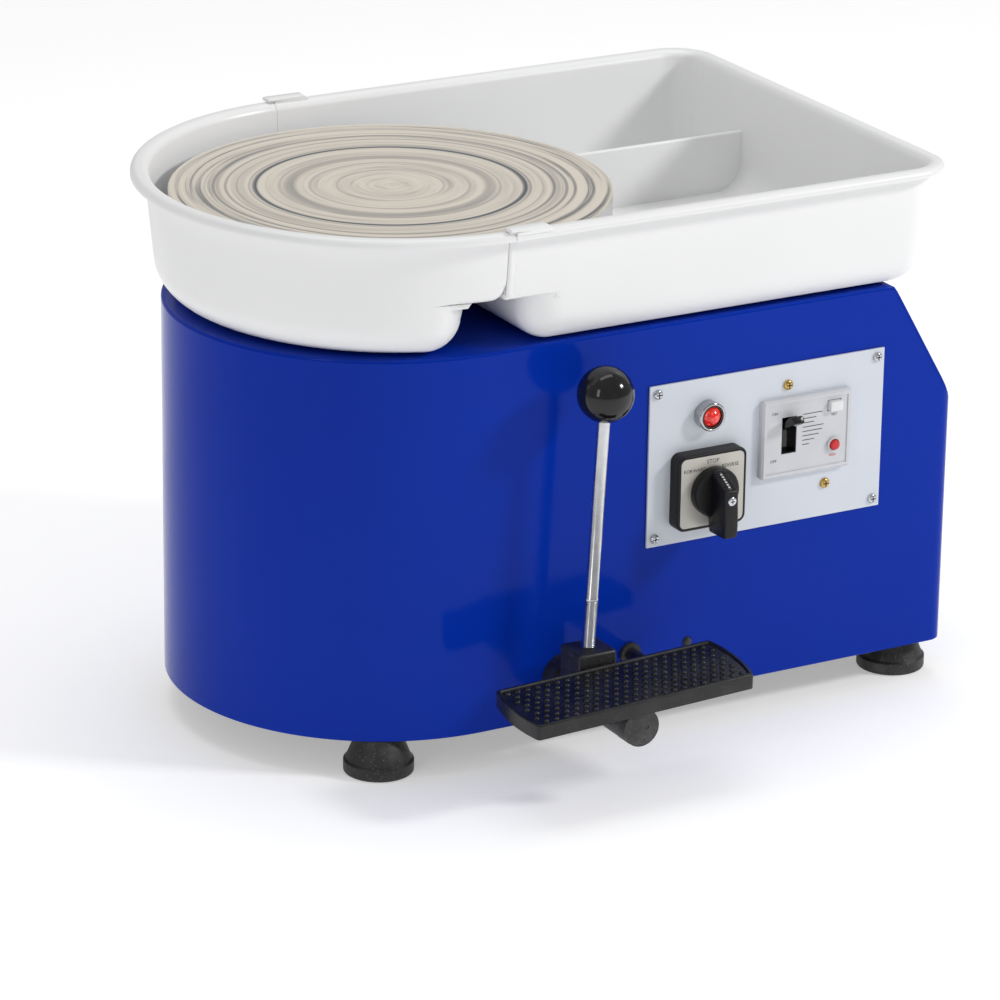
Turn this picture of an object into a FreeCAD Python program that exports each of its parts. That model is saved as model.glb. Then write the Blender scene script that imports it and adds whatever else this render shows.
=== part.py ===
import FreeCAD, Part
import math
import os

# Electric pottery wheel with a two-part splash pan, a front control panel and a
# hand lever and foot pedal on one pivot.  Millimetres.
# Design frame: the wheel axis is X = Y = 0 and the top of the deck is Z = 0.
# +X runs to the flat rear end, -Y is the front face with the controls, +Z is up.
# save() shifts every piece so that the origin is the centre of the footprint.

V = FreeCAD.Vector
X_AXIS = V(1, 0, 0)
Y_AXIS = V(0, 1, 0)
Z_AXIS = V(0, 0, 1)

# Housing
HALF_W = 124.0            # half width, and the radius of the round end
ROUND_X = -6.0            # centre of the round end
END_X = 305.0             # flat rear end
BODY_H = 224.0
SHEET = 1.5
BASE_T = 2.0
CORNER_R = 10.0           # rear corners in plan
SLOPE_TOP_X = 260.0       # where the deck starts to slope down
SLOPE_DROP = 77.0
FLOOR_Z = -BODY_H
RUNNING_GAP = 0.05        # radial clearance of every shaft in its bush

# Cord gland in the back wall, as (X, Z)
GLAND = (262.0, -190.0)
GLAND_BORE = 4.0
GLAND_OUT = 18.0

# Feet
FOOT_H = 22.0
FOOT_R = 20.0
FOOT_TOP_R = 13.0
FOOT_BAND = 7.0
FOOT_X = (-58.0, 285.0)
FOOT_Y = 98.0
BASE_SCREW_X = (0.0, 200.0)
BASE_SCREW_Y = 112.0

# Wheel head and drive
HEAD_R = 125.0
HEAD_TOP = 61.5
HEAD_T = 6.5
SKIRT_T = 3.0
SKIRT_H = 20.0
HUB_FLANGE_R = 40.0
HUB_FLANGE_T = 6.0
HUB_R = 16.0
HUB_BOTTOM = 22.0
SHAFT_R = 10.0
SHAFT_BOTTOM = -150.0
BEARING_R = 23.5
BEARING_T = 14.0
UPPER_BEARING_Z = -28.0   # lower face of the upper bearing
LOWER_BEARING_Z = -96.0
HOUSING_R = 32.0
FLANGE_R = 56.0
FLANGE_T = 8.0
BOLT_PCD = 88.0
BOLT_R = 3.0
BOLT_L = 20.0
DECK_HOLE_R = 18.0
PULLEY_R = 75.0
MOTOR_PULLEY_R = 11.0
BELT_Z = -132.0
BELT_W = 13.0
BELT_T = 3.0
BELT_GAP = 0.3
MOTOR_X = 190.0
MOTOR_R = 46.0
MOTOR_TOP = -16.0
MOTOR_BOTTOM = -112.0
MOTOR_SHAFT_R = 5.0

# Controller board
BOARD_X = (150.0, 262.0)
BOARD_Y = (-50.0, 40.0)
BOARD_Z = -206.0

# Splash pan
JOINT_X = -2.0
PAN_ROUND_X = 2.0
PAN_Z = 1.0               # underside of the bowls
PAN_T = 3.0
PAN_RIM_Z = 74.0
PAN_RIM_H = 4.2
PAN_RIM_W = 8.0
PAN_TOP_HALF = 140.5      # outside of the wall under the rim
PAN_FOOT_HALF = 133.0     # outside of the wall near the deck
PAN_TOP_END = 279.5
PAN_FOOT_END = 277.5
PAN_CORNER_R = 20.0
PAN_BOTTOM_R = 20.0
RIM_CORNER_R = 16.0
TUNNEL_X = (-17.0, 15.0)  # tunnel between the two bowls
TUNNEL_Z = 33.0
TUNNEL_SEG = 12.0
PAN_HOLE_R = 25.0
DOME_R = 30.0             # clear space about the shaft under the pan
LIP_H = 3.5
LIP_T = 2.5
DIVIDER_Y = 70.0
DIVIDER_X = 112.0
DIVIDER_TOP = 40.0
TAB_L = 27.0
TAB_T = 2.4
TAB_W = 8.5
TAB_NOSE = 4.0            # how far a tab lies over the front half's rim
PAN_GAP = 0.3

# Control panel
PLATE_X = (97.5, 253.5)
PLATE_Z = (-131.5, -35.5)
PLATE_T = 1.5
PLATE_INSET = 5.0
FACE_Y = -HALF_W
PLATE_Y = FACE_Y - PLATE_T
LAMP = (135.0, -57.0)
LAMP_R = 8.5
LAMP_H = 7.0
SWITCH = (134.5, -99.5)
SWITCH_SIDE = 45.0
SWITCH_T = 9.0
SWITCH_CORNER = 5.0
SWITCH_BLOCK = 28.0
FACE_SIDE = 41.5
FACE_T = 0.5
KNOB_R = 14.5
KNOB_DISC_T = 6.0
KNOB_H = 21.0
KNOB_GRIP_W = 9.0
KNOB_TAIL = 23.0
KNOB_NOSE = 13.5
KNOB_GAP = 0.4
BREAKER_X = (170.0, 230.0)
BREAKER_Z = (-102.0, -55.0)
BREAKER_T = 4.5
BREAKER_BORDER = 3.0
BREAKER_RECESS = 0.6
SLOT_X = (183.0, 193.0)
SLOT_Z = (-88.0, -66.0)
TOGGLE_PIVOT_Y = -118.0
TOGGLE_DEG = 30.0
TOGGLE_L = 24.0
TOGGLE_HALF_W = 3.8
TEST_BUTTON = (218.0, -63.5)
TEST_SIZE = (8.5, 6.0)
RESET_BUTTON = (218.0, -87.0)
RESET_R = 3.0
BRASS_SCREWS = ((188.5, -48.0), (215.5, -111.5))

# Lever and pedal
PIVOT_X = 46.0
PIVOT_Z = -199.4
PIVOT_R = 6.0
BUSH_OUT = 12.0
BLOCK_W = 24.0
BLOCK_Y = (-164.0, -141.0)
BLOCK_TOP = -171.5
BLOCK_BOTTOM = -211.0
ROD_R = 3.6
THREAD_R = 4.0
THREAD_L = 28.0
ROD_LEAN = 3.0
BALL_R = 16.0
BALL_Z = -24.5
ROD_Y = -151.5
PAD_X = 47.2
PAD_L = 144.0
PAD_TILT = 2.05           # right end up, about Y
PAD_PITCH = 4.45          # front edge down, about X
PAD_DEPTH = 48.0          # as seen from above
PAD_W = PAD_DEPTH / math.cos(math.radians(PAD_PITCH))
PAD_T = 9.0
PAD_BACK_Y = -165.5
PAD_TOP = -177.9
PAD_END_BOW = 3.5
PAD_BORDER = 2.4
PAD_RECESS = 1.2
BUMP_R = 1.9
BUMP_ROWS = 8
BUMP_COLUMNS = 21
PEDAL_HUB_R = 11.0
PEDAL_FRONT_Y = -210.0
PEDAL_PLATE_T = 2.0
STOP_X = 88.7
STOP_Z = -193.6
STOP_R = 4.0
STOP_TIP_Y = -184.0
STOP_GROMMET_R = 6.5
SMALL_SCREW = (127.0, -193.5)
POT_Y = -72.0


def box(x, y, z):
    """A box between two values on each axis."""
    size = (x[1] - x[0], y[1] - y[0], z[1] - z[0])
    return Part.makeBox(*size, V(x[0], y[0], z[0]))


def rod(radius, start, length, axis=Z_AXIS):
    """A cylinder that starts at a point and runs along an axis."""
    return Part.makeCylinder(radius, length, V(*start), axis)


def tube(outer, inner, start, length, axis=Z_AXIS):
    """A ring of two radii that starts at a point and runs along an axis."""
    return rod(outer, start, length, axis).cut(rod(inner, start, length, axis))


def turned(points, centre, axis=Z_AXIS):
    """A solid of revolution from (radius, height) points about a vertical axis."""
    wire = Part.makePolygon([V(r, 0, h) for r, h in points + [points[0]]])
    solid = Part.Face(wire).revolve(V(0, 0, 0), Z_AXIS, 360)
    turn = FreeCAD.Rotation(Z_AXIS, axis)
    solid.Placement = FreeCAD.Placement(V(*centre), turn)
    return solid


def joined(shapes):
    """One solid from shapes that overlap."""
    first = shapes[0]
    return first.fuse(shapes[1:]).removeSplitter()


def plan_wire(half, front_x, end_x, corner, z):
    """Outline that is round at the front end and square with rounded corners behind."""
    s = corner * math.sqrt(0.5)
    mid_x = end_x - corner + s
    mid_y = half - corner + s
    edges = [
        Part.Arc(V(front_x, half, z), V(front_x - half, 0, z), V(front_x, -half, z)).toShape(),
        Part.makeLine(V(front_x, -half, z), V(end_x - corner, -half, z)),
        Part.Arc(V(end_x - corner, -half, z), V(mid_x, -mid_y, z), V(end_x, corner - half, z)).toShape(),
        Part.makeLine(V(end_x, corner - half, z), V(end_x, half - corner, z)),
        Part.Arc(V(end_x, half - corner, z), V(mid_x, mid_y, z), V(end_x - corner, half, z)).toShape(),
        Part.makeLine(V(end_x - corner, half, z), V(front_x, half, z)),
    ]
    return Part.Wire(edges)


def plan_solid(half, front_x, end_x, corner, z, height):
    """The outline above, pulled up."""
    return Part.Face(plan_wire(half, front_x, end_x, corner, z)).extrude(V(0, 0, height))


def under_slope(inset):
    """Everything below the deck and its rear slope, set in by a sheet's thickness."""
    run = END_X - SLOPE_TOP_X
    length = math.hypot(run, SLOPE_DROP)
    shift_x = inset * (length - run) / SLOPE_DROP
    fall = SLOPE_DROP / run
    top_x = SLOPE_TOP_X - shift_x
    far_x = END_X + 20
    far_z = -inset - fall * (far_x - top_x)
    left = ROUND_X - HALF_W - 20
    low = FLOOR_Z - 20
    points = [V(left, 0, low), V(far_x, 0, low), V(far_x, 0, far_z), V(top_x, 0, -inset), V(left, 0, -inset)]
    face = Part.Face(Part.makePolygon(points + [points[0]]))
    face.translate(V(0, -HALF_W - 20, 0))
    return face.extrude(V(0, 2 * HALF_W + 40, 0))


def body_solid(inset, bottom):
    """The housing's outer shape, set in by a thickness on every side but the bottom."""
    plan = plan_solid(HALF_W - inset, ROUND_X, END_X - inset, CORNER_R - inset, bottom, -bottom)
    return plan.common(under_slope(inset))


def flat_head(x, y, shank_r, length):
    """A flat-head screw body whose head is flush with Z = 0."""
    head_r = shank_r * 1.9
    head_h = shank_r * 1.1
    return turned([(0, 0), (head_r, 0), (shank_r, -head_h), (shank_r, -length), (0, -length)], (x, y, 0))


def cross_recess(span, depth):
    """A cross-shaped driver recess below Z = 0."""
    half = span / 2
    arm = span * 0.13
    one = box((-half, half), (-arm, arm), (-depth, 1))
    two = box((-arm, arm), (-half, half), (-depth, 1))
    return one.fuse(two)


def pan_head(x, y, z, axis, shank_r, length):
    """A cross-head screw standing on a surface, head outward along the axis."""
    head_r = shank_r * 1.9
    head_h = shank_r * 1.3
    points = [(0, -length), (shank_r, -length), (shank_r, 0), (head_r, 0), (head_r, head_h * 0.45),
              (head_r * 0.72, head_h * 0.9), (head_r * 0.4, head_h), (0, head_h)]
    recess = cross_recess(head_r * 1.15, head_h * 0.7)
    recess.translate(V(0, 0, head_h))
    screw = turned(points, (0, 0, 0)).cut(recess)
    screw.Placement = FreeCAD.Placement(V(x, y, z), FreeCAD.Rotation(Z_AXIS, axis))
    return screw


def rounded_block(x, z, y0, y1, radius):
    """A block facing -Y whose four corners are rounded as seen from the front."""
    block = box(x, (y0, y1), z)
    edges = [e for e in block.Edges if abs(e.tangentAt(e.FirstParameter).y) > 0.99]
    return block.makeFillet(radius, edges)


# Housing ---------------------------------------------------------------------

def switch_window(grow):
    """Hole through the front face behind the cam switch."""
    reach = SWITCH_BLOCK / 2 + grow
    x = (SWITCH[0] - reach, SWITCH[0] + reach)
    z = (SWITCH[1] - reach, SWITCH[1] + reach)
    return box(x, (FACE_Y - 5, FACE_Y + 5), z)


def breaker_window(grow):
    """Hole through the front face behind the breaker."""
    x = (BREAKER_X[0] + 5 - grow, BREAKER_X[1] - 5 + grow)
    z = (BREAKER_Z[0] + 3 - grow, BREAKER_Z[1] - 3 + grow)
    return box(x, (FACE_Y - 5, FACE_Y + 5), z)


def side_wrap():
    """The wrapped side wall, open at the top and the bottom."""
    outer = plan_solid(HALF_W, ROUND_X, END_X, CORNER_R, FLOOR_Z, BODY_H).common(under_slope(SHEET))
    inner = plan_solid(HALF_W - SHEET, ROUND_X, END_X - SHEET, CORNER_R - SHEET, FLOOR_Z - 1, BODY_H + 2)
    wall = joined([outer.cut(inner)] + base_tabs())
    cuts = [switch_window(2.0), breaker_window(2.0)]
    cuts.append(rod(7.0, (LAMP[0], FACE_Y - 5, LAMP[1]), 10, Y_AXIS))
    cuts.append(rod(10.0, (PIVOT_X, FACE_Y - 5, PIVOT_Z), 10, Y_AXIS))
    cuts.append(rod(STOP_R, (STOP_X, FACE_Y - 5, STOP_Z), 10, Y_AXIS))
    cuts.append(rod(1.5, (SMALL_SCREW[0], FACE_Y - 5, SMALL_SCREW[1]), 10, Y_AXIS))
    cuts.append(rod(8.0, (GLAND[0], HALF_W - 5, GLAND[1]), 10, Y_AXIS))
    cuts += [rod(1.5, (x, FACE_Y - 5, z), 10, Y_AXIS) for x, z in plate_corners()]
    cuts += [rod(2.0, (x, FACE_Y - 5, z), 10, Y_AXIS) for x, z in BRASS_SCREWS]
    return wall.cut(cuts)


def top_deck():
    """The deck and its rear slope, one bent sheet."""
    outer = body_solid(0, FLOOR_Z)
    deck = outer.cut(under_slope(SHEET))
    deck = deck.cut(rod(DECK_HOLE_R, (0, 0, -5), 10))
    return deck.cut([flat_head(x, y, BOLT_R, BOLT_L) for x, y in bolt_places()])


def bolt_places():
    """Four places on the bearing housing's bolt circle."""
    turns = [math.radians(45 + 90 * k) for k in range(4)]
    return [(BOLT_PCD / 2 * math.cos(t), BOLT_PCD / 2 * math.sin(t)) for t in turns]


def foot_places():
    """The four feet in plan."""
    return [(x, y) for x in FOOT_X for y in (-FOOT_Y, FOOT_Y)]


def base_screw_places():
    """Screws that hold the base plate to the tabs of the side wall."""
    return [(x, y) for x in BASE_SCREW_X for y in (-BASE_SCREW_Y, BASE_SCREW_Y)]


def base_plate():
    """The bottom sheet with rows of air slots under the motor."""
    plan = plan_solid(HALF_W - SHEET, ROUND_X, END_X - SHEET, CORNER_R - SHEET, FLOOR_Z, BASE_T)
    cuts = [box((x, x + 4), (-30, 30), (FLOOR_Z - 1, FLOOR_Z + 3)) for x in range(60, 120, 10)]
    cuts += [rod(3.0, (x, y, FLOOR_Z - 1), 4) for x, y in foot_places()]
    cuts += [rod(2.0, (x, y, FLOOR_Z - 1), 4) for x, y in base_screw_places()]
    return plan.cut(cuts)


def base_tabs():
    """Four angle tabs welded inside the wall that take the base screws."""
    out = HALF_W - SHEET + 0.5
    low = FLOOR_Z + BASE_T
    tabs = []
    for x, y in base_screw_places():
        wall = (out - 2.5, out) if y > 0 else (-out, 2.5 - out)
        flat = (out - 22, out) if y > 0 else (-out, 22 - out)
        angle = box((x - 12, x + 12), flat, (low, low + 2)).fuse(box((x - 12, x + 12), wall, (low, low + 20)))
        tabs.append(angle.cut(rod(2.0, (x, y, low - 1), 4)))
    return tabs


def base_screws():
    """Pan-head screws driven up through the base plate."""
    screws = [pan_head(x, y, FLOOR_Z, V(0, 0, -1), 2.0, 8) for x, y in base_screw_places()]
    return Part.makeCompound(screws)


def rubber_feet():
    """Cone feet with a straight band at the floor and a well for the screw."""
    low = FLOOR_Z - FOOT_H
    points = [(2.6, low + 7), (7.0, low + 7), (7.0, low), (FOOT_R - 1, low), (FOOT_R, low + 1),
              (FOOT_R, low + FOOT_BAND), (FOOT_R - 1.2, low + FOOT_BAND + 0.8), (FOOT_TOP_R, FLOOR_Z),
              (2.6, FLOOR_Z)]
    feet = [turned(points, (x, y, 0)) for x, y in foot_places()]
    return Part.makeCompound(feet)


def foot_screws():
    """Screw, washer and nut of each foot, from the well up through the base plate."""
    low = FLOOR_Z - FOOT_H + 7
    top = FLOOR_Z + BASE_T
    points = [(0, low - 4), (5.0, low - 4), (5.0, low), (2.6, low), (2.6, top),
              (5.0, top), (5.0, top + 4), (2.6, top + 4), (2.6, top + 7), (0, top + 7)]
    screws = [turned(points, (x, y, 0)) for x, y in foot_places()]
    return Part.makeCompound(screws)


def cord_gland():
    """Power-cord gland in the back wall: flange, hexagon and dome around the bore."""
    y = HALF_W
    flange = rod(12.0, (GLAND[0], y, GLAND[1]), 2.0, Y_AXIS)
    neck = rod(8.0, (GLAND[0], y - 14, GLAND[1]), 14.0, Y_AXIS)
    dome = Part.makeCone(9.5, 6.5, GLAND_OUT - 2, V(GLAND[0], y + 2, GLAND[1]), Y_AXIS)
    body = joined([flange, neck, dome])
    return body.cut(rod(GLAND_BORE, (GLAND[0], y - 20, GLAND[1]), 60, Y_AXIS))


# Wheel head and drive --------------------------------------------------------

def wheel_head():
    """Turned disc with a short skirt."""
    low = HEAD_TOP - SKIRT_H
    under = HEAD_TOP - HEAD_T
    points = [(0, under), (HEAD_R - SKIRT_T, under), (HEAD_R - SKIRT_T, low), (HEAD_R, low),
              (HEAD_R, HEAD_TOP - 1), (HEAD_R - 1, HEAD_TOP), (0, HEAD_TOP)]
    head = turned(points, (0, 0, 0))
    return head.cut([rod(2.5, (x, y, under - 1), 5) for x, y in hub_screw_places()])


def hub_screw_places():
    """Four screws on the hub's flange."""
    return [(30 * math.cos(k * math.pi / 2), 30 * math.sin(k * math.pi / 2)) for k in range(4)]


def head_hub():
    """Flanged boss that carries the head on the shaft."""
    top = HEAD_TOP - HEAD_T
    flange = rod(HUB_FLANGE_R, (0, 0, top - HUB_FLANGE_T), HUB_FLANGE_T)
    boss = rod(HUB_R, (0, 0, HUB_BOTTOM), top - HUB_BOTTOM)
    hub = flange.fuse(boss).cut(rod(SHAFT_R, (0, 0, HUB_BOTTOM - 1), 100))
    cuts = [rod(2.5, (x, y, top - 20), 30) for x, y in hub_screw_places()]
    cuts.append(rod(2.5, (5, 0, HUB_BOTTOM + 7), 30, X_AXIS))
    return hub.cut(cuts)


def hub_screws():
    """Cap screws from below the flange and the grub screw in the boss."""
    top = HEAD_TOP - HEAD_T - HUB_FLANGE_T
    screws = []
    for x, y in hub_screw_places():
        screws.append(rod(2.5, (x, y, top), 9).fuse(rod(4.2, (x, y, top - 4), 4)))
    screws.append(rod(2.5, (SHAFT_R, 0, HUB_BOTTOM + 7), HUB_R - SHAFT_R - 1, X_AXIS))
    return Part.makeCompound(screws)


def main_shaft():
    """Wheel shaft with a groove for the circlip."""
    shaft = rod(SHAFT_R, (0, 0, SHAFT_BOTTOM), HEAD_TOP - HEAD_T - SHAFT_BOTTOM)
    groove = tube(SHAFT_R + 1, SHAFT_R - 1, (0, 0, SHAFT_BOTTOM + 3), 1.2)
    return shaft.cut(groove)


def circlip():
    """Open ring that holds the pulley on the shaft."""
    ring = tube(SHAFT_R + 3, SHAFT_R - 1, (0, 0, SHAFT_BOTTOM + 3), 1.2)
    return ring.cut(box((0, 20), (-2.5, 2.5), (SHAFT_BOTTOM, SHAFT_BOTTOM + 6)))


def splash_collar():
    """Rubber slinger on the shaft just above the deck."""
    points = [(SHAFT_R, 4), (22, 4), (22, 6), (14, 9), (14, 14), (SHAFT_R, 14)]
    return turned(points, (0, 0, 0))


def bearing_housing():
    """Flanged casting under the deck with a seat for a bearing at each end."""
    top = -SHEET
    upper_seat = UPPER_BEARING_Z
    lower_seat = LOWER_BEARING_Z
    points = [(DECK_HOLE_R, top), (FLANGE_R, top), (FLANGE_R, top - FLANGE_T), (HOUSING_R, top - FLANGE_T),
              (HOUSING_R, lower_seat), (BEARING_R, lower_seat), (BEARING_R, lower_seat + BEARING_T),
              (DECK_HOLE_R, lower_seat + BEARING_T), (DECK_HOLE_R, upper_seat), (BEARING_R, upper_seat),
              (BEARING_R, upper_seat + BEARING_T), (DECK_HOLE_R, upper_seat + BEARING_T)]
    body = turned(points, (0, 0, 0))
    return body.cut([flat_head(x, y, BOLT_R, BOLT_L) for x, y in bolt_places()])


def bearing(z):
    """Sealed ball bearing: outer ring, seals and a running gap to the shaft."""
    outer = tube(BEARING_R, BEARING_R - 5, (0, 0, z), BEARING_T)
    inner = tube(SHAFT_R + 4, SHAFT_R + RUNNING_GAP, (0, 0, z), BEARING_T)
    seal = tube(BEARING_R - 5, SHAFT_R + 4, (0, 0, z + 1), BEARING_T - 2)
    return joined([outer, inner, seal])


def upper_bearing():
    """Bearing under the deck."""
    return bearing(UPPER_BEARING_Z)


def lower_bearing():
    """Bearing at the foot of its housing."""
    return bearing(LOWER_BEARING_Z)


def bearing_bolts():
    """Flat-head bolts through the deck and the flange, each with a nut."""
    bolts = []
    for x, y in bolt_places():
        low = -SHEET - FLANGE_T
        recess = cross_recess(9.0, 2.0)
        recess.translate(V(x, y, 0))
        bolt = flat_head(x, y, BOLT_R, BOLT_L).cut(recess)
        bolts.append(bolt.fuse(rod(5.5, (x, y, low - 5), 5)))
    return Part.makeCompound(bolts)


def grooved(radius, low, high, pitch=3.0, depth=1.6):
    """Outline points of a ribbed-belt rim, from the top of the rim to its bottom."""
    points = []
    z = high
    while z - pitch > low - 0.01:
        points += [(radius, z), (radius - depth, z - pitch / 2)]
        z -= pitch
    points.append((radius, z))
    return points


def driven_pulley():
    """Large ribbed pulley with a web and a hub."""
    low = BELT_Z - BELT_W / 2
    high = BELT_Z + BELT_W / 2
    flange = PULLEY_R + 2
    rim = [(flange, high + 1.5), (flange, high)] + grooved(PULLEY_R, low + 0.5, high - 0.5)
    rim += [(flange, low), (flange, low - 1.5)]
    points = rim + [(PULLEY_R - 6, low - 1.5), (PULLEY_R - 6, BELT_Z - 2), (20, BELT_Z - 2),
                    (20, SHAFT_BOTTOM + 4.2), (SHAFT_R, SHAFT_BOTTOM + 4.2), (SHAFT_R, high + 8),
                    (20, high + 8), (20, BELT_Z + 2), (PULLEY_R - 6, BELT_Z + 2), (PULLEY_R - 6, high + 1.5)]
    wheel = turned(points, (0, 0, 0))
    holes = []
    for k in range(6):
        turn = math.radians(60 * k)
        holes.append(rod(12, (44 * math.cos(turn), 44 * math.sin(turn), BELT_Z - 5), 10))
    return wheel.cut(holes)


def motor_pulley():
    """Small ribbed pulley on the motor shaft."""
    low = BELT_Z - BELT_W / 2
    high = BELT_Z + BELT_W / 2
    flange = MOTOR_PULLEY_R + 2
    rim = [(flange, high + 1.5), (flange, high)] + grooved(MOTOR_PULLEY_R, low + 0.5, high - 0.5)
    rim += [(flange, low), (flange, low - 1.5)]
    points = rim + [(MOTOR_SHAFT_R, low - 1.5), (MOTOR_SHAFT_R, high + 1.5)]
    return turned(points, (MOTOR_X, 0, 0))


def belt_loop(gap, z0, z1):
    """Solid inside the loop that wraps both pulleys with a gap."""
    big = PULLEY_R + gap
    small = MOTOR_PULLEY_R + gap
    lean = math.asin((big - small) / MOTOR_X)
    sin = math.sin(lean)
    cos = math.cos(lean)
    big_top = V(big * sin, big * cos, z0)
    small_top = V(MOTOR_X + small * sin, small * cos, z0)
    big_low = V(big_top.x, -big_top.y, z0)
    small_low = V(small_top.x, -small_top.y, z0)
    edges = [
        Part.Arc(big_top, V(-big, 0, z0), big_low).toShape(),
        Part.makeLine(big_low, small_low),
        Part.Arc(small_low, V(MOTOR_X + small, 0, z0), small_top).toShape(),
        Part.makeLine(small_top, big_top),
    ]
    return Part.Face(Part.Wire(edges)).extrude(V(0, 0, z1 - z0))


def drive_belt():
    """Flat outside of the ribbed belt, clear of both rims."""
    low = BELT_Z - BELT_W / 2 + 0.6
    high = BELT_Z + BELT_W / 2 - 0.6
    return belt_loop(BELT_GAP + BELT_T, low, high).cut(belt_loop(BELT_GAP, low - 1, high + 1))


def motor_body():
    """Brushed direct-current motor can with an end cap at each end."""
    can = rod(MOTOR_R, (MOTOR_X, 0, MOTOR_BOTTOM + 10), MOTOR_TOP - MOTOR_BOTTOM - 20)
    caps = [rod(MOTOR_R - 2, (MOTOR_X, 0, z), 10) for z in (MOTOR_BOTTOM, MOTOR_TOP - 10)]
    body = joined([can] + caps)
    bore = rod(MOTOR_SHAFT_R + RUNNING_GAP, (MOTOR_X, 0, MOTOR_BOTTOM - 1), 60)
    taps = [rod(2.5, (x, y, MOTOR_BOTTOM - 1), 9) for x, y in motor_screw_places()]
    return body.cut([bore] + taps)


def motor_screw_places():
    """Four tapped holes in the lower end cap."""
    return [(MOTOR_X + 28 * a, 28 * b) for a in (-1, 1) for b in (-1, 1)]


def motor_bracket():
    """Plate under the motor with two legs up to the deck."""
    top = MOTOR_BOTTOM
    plate = box((MOTOR_X - 50, MOTOR_X + 50), (-60, 60), (top - 4, top))
    legs = []
    for side in (-1, 1):
        y = (56, 60) if side > 0 else (-60, -56)
        tab = (56, 80) if side > 0 else (-80, -56)
        legs.append(box((MOTOR_X - 40, MOTOR_X + 40), y, (top - 4, -SHEET)))
        legs.append(box((MOTOR_X - 40, MOTOR_X + 40), tab, (-SHEET - 4, -SHEET)))
    bracket = joined([plate] + legs)
    cuts = [rod(3.0, (x, y, top - 6), 8) for x, y in motor_screw_places()]
    cuts.append(rod(16.0, (MOTOR_X, 0, top - 6), 8))
    return bracket.cut(cuts)


def motor_screws():
    """Screws that hold the motor to its plate."""
    low = MOTOR_BOTTOM - 4
    screws = []
    for x, y in motor_screw_places():
        screws.append(rod(2.5, (x, y, low), 10).fuse(rod(4.2, (x, y, low - 4), 4)))
    return Part.makeCompound(screws)


def motor_shaft():
    """Motor shaft from inside the can down through the pulley."""
    low = BELT_Z - BELT_W / 2 - 4
    return rod(MOTOR_SHAFT_R, (MOTOR_X, 0, low), MOTOR_BOTTOM + 55 - low)


# Controller ------------------------------------------------------------------

def board_posts():
    """Four spacers between the base plate and the board."""
    low = FLOOR_Z + BASE_T
    places = [(x, y) for x in (BOARD_X[0] + 6, BOARD_X[1] - 6) for y in (BOARD_Y[0] + 6, BOARD_Y[1] - 6)]
    return Part.makeCompound([rod(4.0, (x, y, low), BOARD_Z - low) for x, y in places])


def controller_board():
    """Speed-controller board with its capacitor, relay and terminal strip."""
    top = BOARD_Z + 1.6
    board = box(BOARD_X, BOARD_Y, (BOARD_Z, top))
    cap = rod(12, (BOARD_X[0] + 24, BOARD_Y[1] - 22, top), 30)
    relay = box((BOARD_X[0] + 44, BOARD_X[0] + 66), (BOARD_Y[1] - 26, BOARD_Y[1] - 10), (top, top + 18))
    strip = box((BOARD_X[0] + 12, BOARD_X[1] - 12), (BOARD_Y[0] + 8, BOARD_Y[0] + 20), (top, top + 11))
    return joined([board, cap, relay, strip])


def heat_sink():
    """Finned heat sink on the board."""
    x0 = BOARD_X[1] - 36
    low = BOARD_Z + 1.6
    y = (BOARD_Y[0] + 26, BOARD_Y[1] - 8)
    base = box((x0, x0 + 30), y, (low, low + 4))
    fins = [box((x0 + 5 * k, x0 + 5 * k + 1.6), y, (low, low + 26)) for k in range(6)]
    return joined([base] + fins)


# Splash pan ------------------------------------------------------------------

def pan_outside(inset, bottom):
    """The whole pan's outer shape, set in by a thickness."""
    foot = plan_wire(PAN_FOOT_HALF - inset, PAN_ROUND_X, PAN_FOOT_END - inset, PAN_CORNER_R - inset, bottom)
    top = plan_wire(PAN_TOP_HALF - inset, PAN_ROUND_X, PAN_TOP_END - inset, PAN_CORNER_R - inset, PAN_RIM_Z)
    shape = Part.makeLoft([foot, top], True, True)
    low_edges = [e for e in shape.Edges if e.BoundBox.ZMax < bottom + 0.1]
    return shape.makeFillet(PAN_BOTTOM_R - inset, low_edges)


def tunnel(grow):
    """The tunnel across the pan between the two bowls, with a round room about the shaft."""
    x0 = TUNNEL_X[0] - grow
    x1 = TUNNEL_X[1] + grow
    top = TUNNEL_Z + grow
    low = -20.0
    rise = PAN_Z + TUNNEL_SEG
    front = [V(x0 - TUNNEL_SEG, 0, low), V(x0 - TUNNEL_SEG, 0, PAN_Z), V(x0, 0, rise), V(x0, 0, top)]
    back = [V(x1, 0, top), V(x1, 0, rise), V(x1 + TUNNEL_SEG, 0, PAN_Z), V(x1 + TUNNEL_SEG, 0, low)]
    points = front + back
    face = Part.Face(Part.makePolygon(points + [points[0]]))
    face.translate(V(0, -200, 0))
    across = face.extrude(V(0, 400, 0))
    return across.fuse(rod(DOME_R + grow, (0, 0, low), top - low))


def rim_solid(inset, bottom, height):
    """Outer shape of the rim, set in by a thickness."""
    half = PAN_TOP_HALF + PAN_RIM_W - inset
    end_x = PAN_TOP_END + PAN_RIM_W - 1 - inset
    return plan_solid(half, PAN_ROUND_X, end_x, RIM_CORNER_R - inset, bottom, height)


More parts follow.
